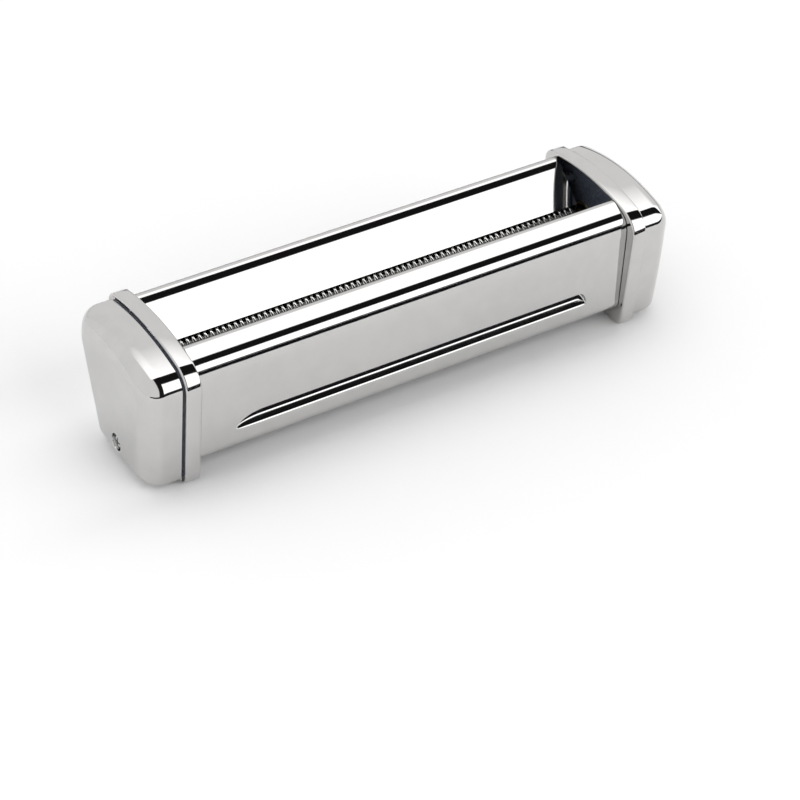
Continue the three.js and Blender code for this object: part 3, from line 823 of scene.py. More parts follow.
@dataclass(frozen=True)
class EndOutline:
    """Outline that collar and cap share: upright front with a draft, tapering back, wide arch and round shoulders."""

    front: float = -36.0
    back: float = 36.0
    crown: float = 66.0
    arch_radius: float = 123.0
    front_shoulder: float = 11.0
    back_shoulder: float = 7.0
    front_draft: float = 2.2
    knee_z: float = 47.0
    knee_radius: float = 6.0
    back_taper: float = 0.37
    foot: float = 0.0
    foot_radius: float = 5.0
    least_corner: float = 1.5
    shoulder_turns: tuple[float, float] = (50.0, 66.0)  # degrees between which the shoulders are flatter
    shoulder_flatness: float = 1.6

    def inset(self, distance: float) -> "EndOutline":
        """The outline with every side moved in by the same distance.

        Args:
            distance: how far each side moves.

        Returns:
            The smaller outline; its corners are never sharper than the least corner.
        """
        return replace(
            self,
            front=self.front + distance,
            back=self.back - distance,
            crown=self.crown - distance,
            arch_radius=self.arch_radius - distance,
            front_shoulder=max(self.front_shoulder - distance, self.least_corner),
            back_shoulder=max(self.back_shoulder - distance, self.least_corner),
            foot=self.foot + distance,
            foot_radius=max(self.foot_radius - distance, self.least_corner),
        )

    def shoulder(self, side: float, radius: float, count: int) -> tuple[Array, float]:
        """Bend that touches an upright side and the arch from inside, flatter between two of its turns.

        A plain arc would have its centre one radius from the side, and the arch's radius less its own from the
        arch's centre. The bend keeps that arc's two ends: its middle part has the given radius, and the radii of
        its first and last part are the two that make the steps along Y and Z add up.

        Args:
            side: distance of the side from the middle.
            radius: the arc's radius.
            count: number of points.

        Returns:
            The bend's points for a side at +Y, and the arch's angle where it ends.
        """
        centre_y = side - radius
        rise = math.sqrt((self.arch_radius - radius) ** 2 - centre_y**2)
        tangent = math.atan2(rise, centre_y)
        turns = np.array([0.0, *np.radians(self.shoulder_turns), tangent])
        steps = np.stack([-np.diff(np.cos(turns)), np.diff(np.sin(turns))])
        whole = radius * np.array([1 - math.cos(tangent), math.sin(tangent)])
        middle = self.shoulder_flatness * radius
        first, last = np.linalg.solve(steps[:, [0, 2]], whole - middle * steps[:, 1])
        bend = np.linspace(0, tangent, count)
        reached = np.clip(bend[:, None], turns[:-1], turns[1:])
        radii = np.array([first, middle, last])
        inwards = ((np.cos(turns[:-1]) - np.cos(reached)) * radii).sum(axis=1)
        upwards = ((np.sin(reached) - np.sin(turns[:-1])) * radii).sum(axis=1)
        foot_z = self.crown - self.arch_radius + rise
        return np.stack([side - inwards, foot_z + upwards], -1), tangent

    def back_at(self, z: float) -> float:
        """Y of the back at a height: upright above the knee, tapering in below it."""
        return self.back - max(0.0, self.knee_z - z) * self.back_taper

    def points(self, bend: int = 18, straight: int = 14, arch: int = 44) -> Array:
        """The closed outline, always with the same number of points.

        Args:
            bend: points of each rounded corner.
            straight: points inside each straight line.
            arch: points of the arch.

        Returns:
            Array of (y, z).
        """
        back, back_end = self.shoulder(self.back, self.back_shoulder, bend)
        front, front_end = self.shoulder(-self.front, self.front_shoulder, bend)
        front = front[::-1] * np.array([-1, 1])
        over = arc((0.0, self.crown - self.arch_radius), self.arch_radius, back_end, math.pi - front_end, arch)
        corners = [
            (*front[-1], 0.0),
            (self.front + self.front_draft, self.foot, self.foot_radius),
            (self.back_at(self.foot), self.foot, self.foot_radius),
            (self.back, self.knee_z, self.knee_radius),
            (*back[0], 0.0),
        ]
        lower = folded(corners, bend, straight)
        return np.concatenate([lower[:-1], back, over[1:-1], front[:-1]])


@dataclass(frozen=True)
class Collar:
    """Proud band round one end, with rounded edges and the covers' shape as its hole."""

    end: End
    outline: EndOutline
    hole: Array
    edge: float = 1.0
    edge_steps: int = 6
    lip: float = 1.4
    undercut: tuple[float, float] = (1.3, 2.9)  # along X, and from the outline
    mouth_share: float = 0.06  # of the way from the hole to the outline
    centre: Place = (0.0, 30.0)

    def shell(self, start: float, stop: float) -> Shell:
        """The band: rings go over the outer face and back through the hole, which is met along the same rays.

        Over a quarter turn, an edge stands in by one minus the sine, and its X moves by one minus the cosine.

        Args:
            start: X of the inner face.
            stop: X of the outer face.

        Returns:
            The closed band.
        """
        turn = np.linspace(0, math.pi / 2, self.edge_steps)
        insets = self.edge * (1 - np.sin(turn))
        near = start + self.edge * (1 - np.cos(turn))
        far = stop - self.edge * (1 - np.cos(turn))
        rim = self.outline.points()
        rings = [at_x(self.outline.inset(step).points(), x) for step, x in zip(insets, near)]
        rings += [at_x(self.outline.inset(step).points(), x) for step, x in zip(insets[::-1], far[::-1])]
        ray = np.arctan2(rim[:, 1] - self.centre[1], rim[:, 0] - self.centre[0])
        arch = self.outline.inset(self.lip)
        over = arc((0.0, arch.crown - arch.arch_radius), arch.arch_radius, 0.0, math.pi, 721)
        inner = np.minimum(reach(self.hole, self.centre, ray), reach(over, self.centre, ray))
        hole = np.array(self.centre) + inner[:, None] * np.stack([np.cos(ray), np.sin(ray)], -1)
        depth, below = self.undercut
        under = self.outline.inset(below).points()
        rings += [at_x(under, stop - depth), at_x(hole, stop - depth), at_x(hole, start)]
        rings += [at_x(hole + self.mouth_share * (rim - hole), start)]
        return Shell.tube(np.stack(rings), Closing.JOINED).mirrored(self.end)

    def build(self, wardrobe: Wardrobe) -> None:
        """Makes and dresses the band.

        Args:
            wardrobe: the materials.
        """
        name = f"collar_{self.end.name.lower()}"
        low, high = extent("collar_right")
        piece = make_piece(f"{name}_band", self.shell(low[0], high[0]), smooth_turn=math.radians(35))
        wardrobe.dress(piece, Slot.CHROME, "housing", name)


@dataclass(frozen=True)
class EndCap:
    """Domed cap over the gears, with a screw boss; the drive end also has the crank's hole."""

    end: End
    outline: EndOutline
    wall: float = 1.5
    straight_rim: float = 1.0
    top_rounding: float = 9.0
    side_rounding: float = 8.5
    foot_rounding: float = 5.0
    shoulder_share: float = 0.7
    crease: float = 1.3
    rim_edge: float = 0.35
    screw_place: Place = SCREW_PLACE
    recess_radius: float = 4.0
    recess_depth: float = 3.0
    boss_radius: float = 5.4
    screw_hole_radius: float = 1.9
    crank_place: Place = Side.FRONT.axis
    crank_hole_radius: float = 8.0
    boss_start: float = 122.0
    boss_cover: float = 0.4  # left over the boss by the cap's end
    mouth_lip: float = 0.6
    closing_shares: tuple[float, float, float] = (0.035, 0.12, 0.5)  # of the way to the middle of the flat end

    def flat_end(self, rim: EndOutline) -> EndOutline:
        """Outline of the flat end inside a rim.

        Args:
            rim: outline of the rim.

        Returns:
            The outline, moved in by each side's own rounding.
        """
        return replace(
            rim,
            front=rim.front + self.side_rounding,
            back=rim.back - self.side_rounding,
            crown=rim.crown - self.top_rounding,
            front_shoulder=rim.front_shoulder * self.shoulder_share,
            back_shoulder=rim.back_shoulder * self.shoulder_share,
            foot=rim.foot + self.foot_rounding,
        )

    def dome(self, rim: EndOutline, start: float, stop: float, steps: int) -> Array:
        """Rings of a dome from its rim to its flat end.

        Each point moves from the rim's outline to the flat end's by one minus the cosine of the turn, while X
        moves by its sine; the rounding is as long as the distance between the two outlines there.

        Args:
            rim: outline of the rim.
            start: X of the rim.
            stop: X of the flat end.
            steps: rings of the rounding.

        Returns:
            Array of ring, point and coordinate.
        """
        outer, inner = rim.points(), self.flat_end(rim).points()
        length = np.minimum(np.linalg.norm(inner - outer, axis=1), stop - start - self.straight_rim)
        turn = np.linspace(0, self.crease, steps)[:, None]
        inwards = (1 - np.cos(turn)) / (1 - math.cos(self.crease))
        along = np.sin(turn) / math.sin(self.crease)
        x = stop - length * (1 - along)
        flat = outer + (inner - outer) * inwards[..., None]
        rings = np.concatenate([x[..., None], flat], -1)
        middle = inner.mean(axis=0)
        closing = [at_x(inner + (middle - inner) * share, stop) for share in self.closing_shares]
        return np.concatenate([at_x(outer, start)[None], rings, np.stack(closing)])

    def shell(self, start: float, stop: float) -> Shell:
        """The hollow cap: down the inside of the dome, over a softened rim and up its outside.

        Args:
            start: X of the rim.
            stop: X of the flat end.

        Returns:
            The closed cap.
        """
        outside = self.dome(self.outline, start, stop, 26)
        inside = self.dome(self.outline.inset(self.wall), start, stop - self.wall, 12)
        edge = at_x(self.outline.inset(self.rim_edge).points(), start)[None]
        outside[0, :, 0] += self.rim_edge
        return Shell.tube(np.concatenate([inside[::-1], edge, outside])).mirrored(self.end)

    def bore(self, name: str, radius: float, place: Place, start: float, stop: float) -> bpy.types.Object:
        """A round tool along X on this end."""
        profile = np.array([[start, radius], [stop, radius]])
        return make_piece(name, Shell.tube(turned(profile, place, 64)).mirrored(self.end))

    def countersink(self, radius: float, place: Place, face: float, depth: float) -> bpy.types.Object:
        """A round tool that ends in a widening mouth, whose radius grows with one minus a cosine.

        Args:
            radius: radius below the mouth.
            place: (y, z) of its axis.
            face: X of the face it opens in.
            depth: depth below that face.

        Returns:
            The tool.
        """
        turn = np.linspace(0, math.pi / 2, 6)
        lip = self.mouth_lip
        mouth = np.stack([face - lip + lip * np.sin(turn), radius + lip * (1 - np.cos(turn))], -1)
        profile = np.concatenate([[[face - depth, radius]], mouth, [[face + 1.0, radius + lip]]])
        return make_piece("mouth", Shell.tube(turned(profile, place, 64)).mirrored(self.end))

    def build(self, wardrobe: Wardrobe) -> None:
        """Makes and dresses the cap.

        Args:
            wardrobe: the materials.
        """
        name = f"end_cap_{self.end.name.lower()}"
        low, high = extent("end_cap_right")
        start, stop = low[0], high[0]
        cap = make_piece(f"{name}_dome", self.shell(start, stop))
        boss = self.bore("boss", self.boss_radius, self.screw_place, self.boss_start, stop)
        solid = Shell.tube(self.dome(self.outline, start, stop - self.boss_cover, 12)).mirrored(self.end)
        combine(boss, make_piece("solid", solid), "INTERSECT")
        combine(cap, boss, "UNION")
        combine(cap, self.bore("screw_way", self.screw_hole_radius, self.screw_place, start, stop + 1), "DIFFERENCE")
        combine(cap, self.countersink(self.recess_radius, self.screw_place, stop, self.recess_depth), "DIFFERENCE")
        if self.end is End.RIGHT:
            mouth = self.countersink(self.crank_hole_radius, self.crank_place, stop, 4 * self.wall)
            combine(cap, mouth, "DIFFERENCE")
        smooth(cap.data, math.radians(32))
        wardrobe.dress(cap, Slot.CHROME, "housing", name)


@dataclass(frozen=True)
class SidePlate:
    """Dark plate that carries both rollers, with a rim that shows in the seam between collar and cap."""

    end: End
    outline: EndOutline
    body_inset: float = 4.2
    rim_inset: float = 3.0
    rim_start: float = 118.2
    rim_stop: float = 119.85
    rim_width: float = 2.4
    floor_step: float = 0.3  # from the rim's outer face to the floor inside the rim
    face_support: float = 1.5
    edge: float = 0.25
    bush_hole: float = 8.3
    rod_hole: float = 2.0
    screw_hole: float = 1.9
    screw_place: Place = SCREW_PLACE
    tab: tuple[float, float, float, float] = (3.6, 0.8, 16.5, 2.55)  # y, half width, z, half height
    rod_places: tuple[Place, ...] = ((-22.5, 50.0), (-24.5, 14.5), (22.5, 49.5), (13.5, 14.5))

    def shell(self, stop: float) -> Shell:
        """The plate with its rim: rings of the shared outline, moved in by each step's inset.

        Args:
            stop: X of the outer face.

        Returns:
            The closed plate, not drilled.
        """
        seat = self.rim_inset + self.edge
        inside = seat + self.rim_width
        steps = (
            (inside, self.rim_stop - self.floor_step), (inside, self.rim_start), (seat, self.rim_start),
            (self.rim_inset, self.rim_start + self.edge), (self.rim_inset, self.rim_stop - self.edge),
            (seat, self.rim_stop), (self.body_inset, self.rim_stop), (self.body_inset, stop - self.edge),
            (self.body_inset + self.edge, stop), (self.body_inset + self.face_support, stop),
        )
        rings = [at_x(self.outline.inset(inset).points(), x) for inset, x in steps]
        return Shell.tube(np.stack(rings)).mirrored(self.end)

    def build(self, wardrobe: Wardrobe) -> None:
        """Makes and dresses the plate, and drills it in one cut.

        Args:
            wardrobe: the materials.
        """
        name = f"side_plate_{self.end.name.lower()}"
        face = extent("side_plate_right")[1][0]
        plate = make_piece(f"{name}_enamelled", self.shell(face))
        start, stop = self.rim_start - 1, face + 1
        holes = [(side.axis, self.bush_hole, 64) for side in Side]
        holes += [(place, self.rod_hole, 32) for place in self.rod_places]
        holes.append((self.screw_place, self.screw_hole, 32))
        tools = [
            Shell.tube(turned(np.array([[start, radius], [stop, radius]]), place, count))
            for place, radius, count in holes
        ]
        tab_y, half_width, tab_z, half_height = self.tab
        for side in Side:
            corners = np.array([[-1, -1], [1, -1], [1, 1], [-1, 1]]) * [half_width, half_height]
            corners = corners + [side.value * tab_y, tab_z]
            tools.append(Shell.tube(np.stack([at_x(corners, start), at_x(corners, stop)])))
        combine(plate, make_piece("drills", *(tool.mirrored(self.end) for tool in tools)), "DIFFERENCE")
        smooth(plate.data, math.radians(35))
        wardrobe.dress(plate, Slot.ENAMEL, "housing", name)


# ---------------------------------------------------------------- covers


def bent(start_turn: float, turns: Iterable[tuple[float, float]], count: int) -> Array:
    """A bend made of arcs of several radii, joined smoothly, from the origin.

    The path's normal leans back by the turn. Each arc adds its radius times the differences of the cosine and
    of the sine of the turn; a negative radius turns the other way.

    Args:
        start_turn: turn at the start in degrees.
        turns: radius of each arc and the turn where it ends.
        count: points of each arc.

    Returns:
        Array of (y, z), with Y growing to the back.
    """
    points = [np.zeros((1, 2))]
    turn = math.radians(start_turn)
    for radius, stop in turns:
        bend = np.linspace(turn, math.radians(stop), count)[1:]
        step = radius * np.stack([math.cos(turn) - np.cos(bend), np.sin(bend) - math.sin(turn)], -1)
        points.append(points[-1][-1] + step)
        turn = math.radians(stop)
    return np.concatenate(points)


@dataclass(frozen=True)
class Groove:
    """Pressed groove in the front panel, deeper above than below, with a tapered left end and a blunter right one."""

    bottom: float = 18.4
    height: float = 8.8
    anchor: float = 1.6  # above the bottom, where the ends run out
    left: float = -92.5
    right: float = 92.5
    left_taper: float = 14.0
    right_taper: float = 5.0
    least_share: float = 0.15
    turns: tuple[tuple[float, float], ...] = (
        (1.3, 57.0), (-35.0, 53.0), (-1.17, 24.0), (-24.0, 17.5), (-0.9, -76.0), (-66.0, -78.0), (1.3, 0.0),
    )

    def section(self) -> Array:
        """Cross-section from the bottom lip to the top lip: depth and height above the bottom.

        The bend is scaled to the groove's height, and what depth is left at its top is taken off evenly.

        Returns:
            Array of (depth, height).
        """
        shape = bent(0.0, self.turns, 15)
        shape *= self.height / shape[-1, 1]
        shape[:, 0] -= shape[-1, 0] * shape[:, 1] / self.height
        return shape

    def share(self, x: Array) -> Array:
        """How full the groove is along X: one in the middle, and a quarter ellipse down to nothing at each end.

        Args:
            x: places along X.

        Returns:
            The share at each place.
        """
        left = np.clip((self.left + self.left_taper - x) / self.left_taper, 0, 1)
        right = np.clip((x - self.right + self.right_taper) / self.right_taper, 0, 1)
        return np.sqrt(1 - left**2) * np.sqrt(1 - right**2)

    def press(self, grid: Array, rows: slice) -> None:
        """Presses the groove into a panel: its rows move back by the section's depth times the share at their X.

        Their heights draw in towards the anchor by the same share, but never to less than the least share.

        Args:
            grid: the panel's outer face, changed in place.
            rows: path points that the groove takes.
        """
        share = self.share(grid[:, rows, 0])
        section = self.section()
        middle = self.bottom + self.anchor
        grid[:, rows, 1] += share * section[:, 0]
        grid[:, rows, 2] = middle + np.maximum(share, self.least_share) * (section[:, 1] - self.anchor)


@dataclass(frozen=True)
class Covers:
    """The two folded sheets between the collars."""

    groove: Groove
    outline: EndOutline
    sheet: float = 1.0
    face: float = 30.7
    bottom: float = 8.5
    fold_radius: float = 4.5
    front_top_z: float = 59.0
    shelf_slope: float = 0.409
    crest_y: float = -16.9
    crest_radius: float = 4.0
    hopper_slope: float = 0.87
    back_step: float = 2.6
    hopper_edge: Place = (7.7, 45.6)
    front_flange_y: float = -17.0
    back_flange_y: float = 10.0
    fold_turns: tuple[tuple[float, float], ...] = ((20.0, 20.0), (5.0, 50.0), (10.5, 67.76))
    back_turns: tuple[tuple[float, float], ...] = ((12.0, 67.0), (4.0, 180.0))

    def front_path(self) -> Array:
        """Outer face of the front cover, from its bottom flange up to the edge above the rollers, without its groove.

        Returns:
            Array of (y, z).
        """
        fold = bent(0.0, self.fold_turns, 16)
        shelf_z = self.front_top_z + self.shelf_slope * fold[-1, 0]
        fold = fold + np.array([-self.face, shelf_z - fold[-1, 1]])
        crest_z = self.front_top_z + (self.crest_y + self.face) * self.shelf_slope
        lower = folded(
            [(self.front_flange_y, self.bottom, 0.0), (-self.face, self.bottom, self.fold_radius), (*fold[0], 0.0)],
            12, 6,
        )
        lower = lower[lower[:, 1] < self.bottom + self.fold_radius + 0.01]
        groove = self.groove.bottom + self.groove.section()[:, 1]
        below = np.linspace(lower[-1, 1] + 0.3, groove[0] - 0.3, 8)
        above = np.linspace(groove[-1] + 0.3, fold[0, 1] - 0.3, 16)
        height = np.concatenate([below, groove, above])
        panel = np.stack([np.full_like(height, -self.face), height], -1)
        edge = (-self.hopper_edge[0], self.hopper_edge[1])
        upper = folded([(*fold[-1], 0.0), (self.crest_y, crest_z, self.crest_radius), (*edge, 0.0)], 18, 10)
        return np.concatenate([lower, panel, fold, upper[1:]])

    def back_path(self) -> Array:
        """Outer face of the back cover, from the edge above the rollers over the fold to its bottom flange.

        Returns:
            Array of (y, z).
        """
        shift = self.back_step * math.hypot(1, self.outline.back_taper)
        foot_y = self.outline.back_at(self.bottom) - shift
        knee_z = self.outline.knee_z - (self.outline.back - shift - self.face) / self.outline.back_taper
        edge = np.array(self.hopper_edge)
        fold = bent(math.degrees(math.atan2(1, self.hopper_slope)), self.back_turns, 22)
        fold = fold + np.array([self.face - fold[-1, 0], 0.0])
        fold[:, 1] += edge[1] + (fold[0, 0] - edge[0]) * self.hopper_slope
        slope = np.concatenate([edge[None], line(edge, fold[0], 30)])
        lower = folded(
            [
                (*fold[-1], 0.0),
                (self.face, knee_z, 2 * self.fold_radius),
                (foot_y, self.bottom, self.fold_radius),
                (self.back_flange_y, self.bottom, 0.0),
            ],
            14, 20,
        )
        return np.concatenate([slope, fold, lower[1:]])

    def stations(self, half: float) -> Array:
        """X of each row of the front cover: 4 mm apart, and closer where the groove's ends curve.

        Args:
            half: half of the cover's length.

        Returns:
            Array of X.
        """
        groove = self.groove
        left = np.arange(groove.left - 1.5, groove.left + groove.left_taper + 1, 0.4)
        right = np.arange(groove.right - groove.right_taper - 1, groove.right + 1.5, 0.3)
        coarse = np.linspace(-half, half, 57)
        keep = (coarse < left[0] - 1) | ((coarse > left[-1] + 1) & (coarse < right[0] - 1)) | (coarse > right[-1] + 1)
        return np.sort(np.concatenate([coarse[keep], left, right]))

    def lined(self, outer: Array) -> Shell:
        """The sheet behind an outer face: each point moves in by the sheet's thickness, square to its path.

        Args:
            outer: array of station, path point and coordinate.

        Returns:
            The closed sheet.
        """
        along = np.gradient(outer[..., 1:], axis=1)
        along /= np.linalg.norm(along, axis=-1, keepdims=True)
        inner = outer.copy()
        inner[..., 1] += self.sheet * along[..., 1]
        inner[..., 2] -= self.sheet * along[..., 0]
        return Shell.sheet(outer, inner)

    def hole(self) -> Array:
        """Outline of the collars' holes: halfway through the sheets, and open above the hopper's mouth.

        Returns:
            Closed (y, z) outline.
        """
        front, back = self.front_path(), self.back_path()
        front, back = (path + self.sheet / 2 * normals(path) for path in (front, back))
        front = front[: int(front[:, 1].argmax())]
        back = back[int(back[:, 1].argmax()):]
        mouth = np.array([[front[-1, 0], self.outline.crown + 20], [back[0, 0], self.outline.crown + 20]])
        return np.concatenate([front, mouth, back])

    def build(self, wardrobe: Wardrobe) -> None:
        """Makes and dresses both covers.

        Args:
            wardrobe: the materials.
        """
        half = float(extent("front_cover")[1][0])
        path = self.front_path()
        outer = np.stack([at_x(path, x) for x in self.stations(half)])
        section = self.groove.section()
        above_bottom = np.where(np.isclose(path[:, 0], -self.face), path[:, 1] - self.groove.bottom, np.inf)
        first = int(np.abs(above_bottom).argmin())
        self.groove.press(outer, slice(first, first + len(section)))
        front = make_piece("front_cover_sheet", self.lined(outer), smooth_turn=math.radians(40))
        wardrobe.dress(front, Slot.CHROME, "housing", "front_cover")
        path = self.back_path()
        outer = np.stack([at_x(path, x) for x in np.linspace(-half, half, 24)])
        back = make_piece("back_cover_sheet", self.lined(outer), smooth_turn=math.radians(40))
        wardrobe.dress(back, Slot.CHROME, "housing", "back_cover")


# ---------------------------------------------------------------- rollers and what turns with them


@dataclass(frozen=True)
class CuttingRoller:
    """Roller turned from one bar: journals, ring grooves and square ridges with broken edges."""

    side: Side
    ridges: int
    pitch: float = 3.0
    ridge_width: float = 1.3
    ridge_radius: float = 12.5
    ridge_height: float = 2.2
    half: float = 109.5
    journal: float = 6.0
    journal_end: float = 4.9
    step_x: float = 123.1
    left_ring_x: float = 123.4
    right_ring_x: float = 128.7
    ring_slot: float = 1.2
    ring_depth: float = 0.7
    tail: float = 0.9
    broken_edge: float = 0.14
    segments: int = 96

    def profile(self) -> Array:
        """Profile from left to right: journal, ridges at every pitch, journal.

        Returns:
            Array of (x, radius).
        """
        core, grooved = self.ridge_radius - self.ridge_height, self.journal_end - self.ring_depth
        middle = (np.arange(self.ridges) - (self.ridges - 1) / 2)[:, None] * self.pitch
        x = middle + np.array([-1, -1, 1, 1]) * self.ridge_width / 2
        radius = np.broadcast_to([core, self.ridge_radius, self.ridge_radius, core], x.shape)
        ridges = np.stack([x, radius], -1).reshape(-1, 2)

        def journal(ring_x: float) -> Array:
            """Profile of one journal, from its end inwards."""
            slot = ring_x + self.ring_slot
            return np.array(
                [
                    [slot + self.tail, 0.8], [slot + self.tail, self.journal_end], [slot, self.journal_end],
                    [slot, grooved], [ring_x, grooved], [ring_x, self.journal_end],
                    [self.step_x, self.journal_end], [self.step_x, self.journal],
                    [self.half, self.journal], [self.half, core],
                ]
            )

        left = journal(self.left_ring_x) * np.array([-1, 1])
        return np.concatenate([left, ridges, journal(self.right_ring_x)[::-1]])

    def build(self, wardrobe: Wardrobe) -> None:
        """Makes and dresses the roller.

        Args:
            wardrobe: the materials.
        """
        side = self.side.name.lower()
        rings = turned(softened(self.profile(), self.broken_edge), self.side.axis, self.segments)
        piece = make_piece(f"ridged_roller_{side}", Shell.tube(rings))
        wardrobe.dress(piece, Slot.CUTTER, f"{side}_roller", f"cutting_roller_{side}")


@dataclass(frozen=True)
class SpurGear:
    """Spur gear with straight flanks and broken edges."""

    side: Side
    teeth: int = 16
    module: float = 1.5
    tip_height: float = 0.85  # over the pitch circle, in modules
    root_depth: float = 1.2
    tip_share: float = 0.1  # of the pitch, from a tooth's middle
    flank_share: float = 0.22
    bore: float = 5.2
    edge: float = 0.3
    flank_points: int = 24

    def radius_at(self, angle: Array) -> Array:
        """Radius of the toothed outline.

        From the tooth's middle it keeps the tip's height, and then falls evenly to the root's depth.

        Args:
            angle: angle from the middle of a tooth.

        Returns:
            The radius at each angle.
        """
        pitch = 2 * math.pi / self.teeth
        share = np.abs(np.mod(angle / pitch + 0.5, 1) - 0.5)
        fall = np.clip((share - self.tip_share) / self.flank_share, 0, 1)
        height = self.tip_height - (self.tip_height + self.root_depth) * fall
        return self.teeth * self.module / 2 + height * self.module

    def build(self, wardrobe: Wardrobe) -> None:
        """Makes and dresses the gear.

        Args:
            wardrobe: the materials.
        """
        name = f"gear_{self.side.name.lower()}"
        low, high = extent(name)
        phase = math.pi / self.teeth if self.side is Side.BACK else 0.0
        angle = np.linspace(0, 2 * math.pi, self.teeth * self.flank_points, endpoint=False)
        outline = self.radius_at(angle - phase)
        bore = np.full_like(outline, self.bore)
        radius = np.stack(
            [bore + self.edge, outline - self.edge, outline, outline, outline - self.edge, bore + self.edge, bore, bore]
        )
        start, stop, edge = low[0], high[0], self.edge
        x = np.array([start, start, start + edge, stop - edge, stop, stop, stop - edge, start + edge])
        rings = radial(x, radius, self.side.axis, angle)
        piece = make_piece(f"spur_{name}", Shell.tube(rings, Closing.JOINED), smooth_turn=math.radians(35))
        wardrobe.dress(piece, Slot.GEAR, f"{self.side.name.lower()}_roller", name)


@dataclass(frozen=True)
class TurnedFittings:
    """The small pieces on the journals: flanged bushes, spring rings and the crank's socket."""

    bush_bore: float = 6.3
    bush_radius: float = 8.0
    flange_radius: float = 9.8
    flange: float = 1.0
    bush_edge: float = 0.2
    ring_bore: float = 4.4
    ring_radius: float = 6.0
    lug: float = 1.0
    ring_opening: float = 0.42  # half of the gap, as an angle
    lug_turn: float = 0.28
    ring_swell: float = 0.35  # extra width opposite the opening
    ring_edge: float = 0.15
    socket_radius: float = 7.4
    across_flats: float = 8.0

    def bush(self, wardrobe: Wardrobe, side: Side, end: End) -> None:
        """A flanged bush, turned from a closed profile with broken edges.

        Args:
            wardrobe: the materials.
            side: which roller it carries.
            end: at which end.
        """
        name = f"bush_{side.name.lower()}_{end.name.lower()}"
        low, high = extent(f"bush_{side.name.lower()}_right")
        start, stop = low[0], high[0]
        profile = np.array(
            [
                [start + 1, self.bush_bore], [start, self.bush_bore], [start, self.bush_radius],
                [stop - self.flange, self.bush_radius], [stop - self.flange, self.flange_radius],
                [stop, self.flange_radius], [stop, self.bush_bore], [start + 1.2, self.bush_bore],
            ]
        )
        rings = turned(softened(profile, self.bush_edge), side.axis, 64)
        piece = make_piece(f"flanged_{name}", Shell.tube(rings, Closing.JOINED).mirrored(end))
        wardrobe.dress(piece, Slot.BRONZE, "housing", name)

    def ring(self, wardrobe: Wardrobe, side: Side, end: End) -> None:
        """An open spring ring: a small section swept round the journal, wider at the lugs by its opening.

        Args:
            wardrobe: the materials.
            side: on which roller.
            end: at which end.
        """
        name = f"retaining_ring_{side.name.lower()}_{end.name.lower()}"
        low, high = extent(name)
        sweep = np.linspace(self.ring_opening, 2 * math.pi - self.ring_opening, 90)
        from_end = np.minimum(sweep - sweep[0], sweep[-1] - sweep)
        outer = self.ring_radius + self.ring_swell * np.sin(from_end / 2) + self.lug * (from_end < self.lug_turn)
        edge = self.ring_edge
        x = np.array([low[0], low[0] + edge, high[0] - edge, high[0], high[0], high[0] - edge, low[0] + edge, low[0]])
        outward = np.array([0, 0, 0, 0, 1, 1, 1, 1])
        trim = np.array([edge, 0, 0, edge, -edge, 0, 0, -edge])
        radius = self.ring_bore + outward * (outer[:, None] - self.ring_bore) + trim
        turn = sweep[:, None] + math.pi / 2
        axis_y, axis_z = side.axis
        section = np.stack(
            [np.broadcast_to(x, radius.shape), axis_y + radius * np.cos(turn), axis_z + radius * np.sin(turn)], -1
        )
        piece = make_piece(f"open_{name}", Shell.tube(section), smooth_turn=math.radians(35))
        wardrobe.dress(piece, Slot.ZINC, f"{side.name.lower()}_roller", name)

    def socket(self, wardrobe: Wardrobe) -> None:
        """The hexagon socket: a round outside, and a bore whose radius is the hexagon's, flared at its mouth.

        Args:
            wardrobe: the materials.
        """
        low, high = extent("drive_socket")
        angle = np.linspace(0, 2 * math.pi, 144, endpoint=False)
        flat = np.ones_like(angle)
        hexagonal = hexagon(self.across_flats, angle + math.pi / 6)
        start, stop, edge = low[0], high[0], 0.5
        radius = np.stack(
            [
                hexagonal, (self.socket_radius - edge) * flat, self.socket_radius * flat, self.socket_radius * flat,
                (self.socket_radius - edge) * flat, np.maximum(hexagonal, 5.1), np.maximum(hexagonal, 4.6), hexagonal,
            ]
        )
        x = np.array([start, start, start + edge, stop - edge, stop, stop, stop - 0.5, stop - 1.1])
        rings = radial(x, radius, Side.FRONT.axis, angle)
        piece = make_piece("hexagon_socket", Shell.tube(rings, Closing.JOINED), smooth_turn=math.radians(28))
        wardrobe.dress(piece, Slot.GEAR, "front_roller", "drive_socket")

    def build(self, wardrobe: Wardrobe) -> None:
        """Makes every fitting.

        Args:
            wardrobe: the materials.
        """
        for side in Side:
            for end in End:
                self.bush(wardrobe, side, end)
                self.ring(wardrobe, side, end)
        self.socket(wardrobe)


# ---------------------------------------------------------------- rods and fasteners


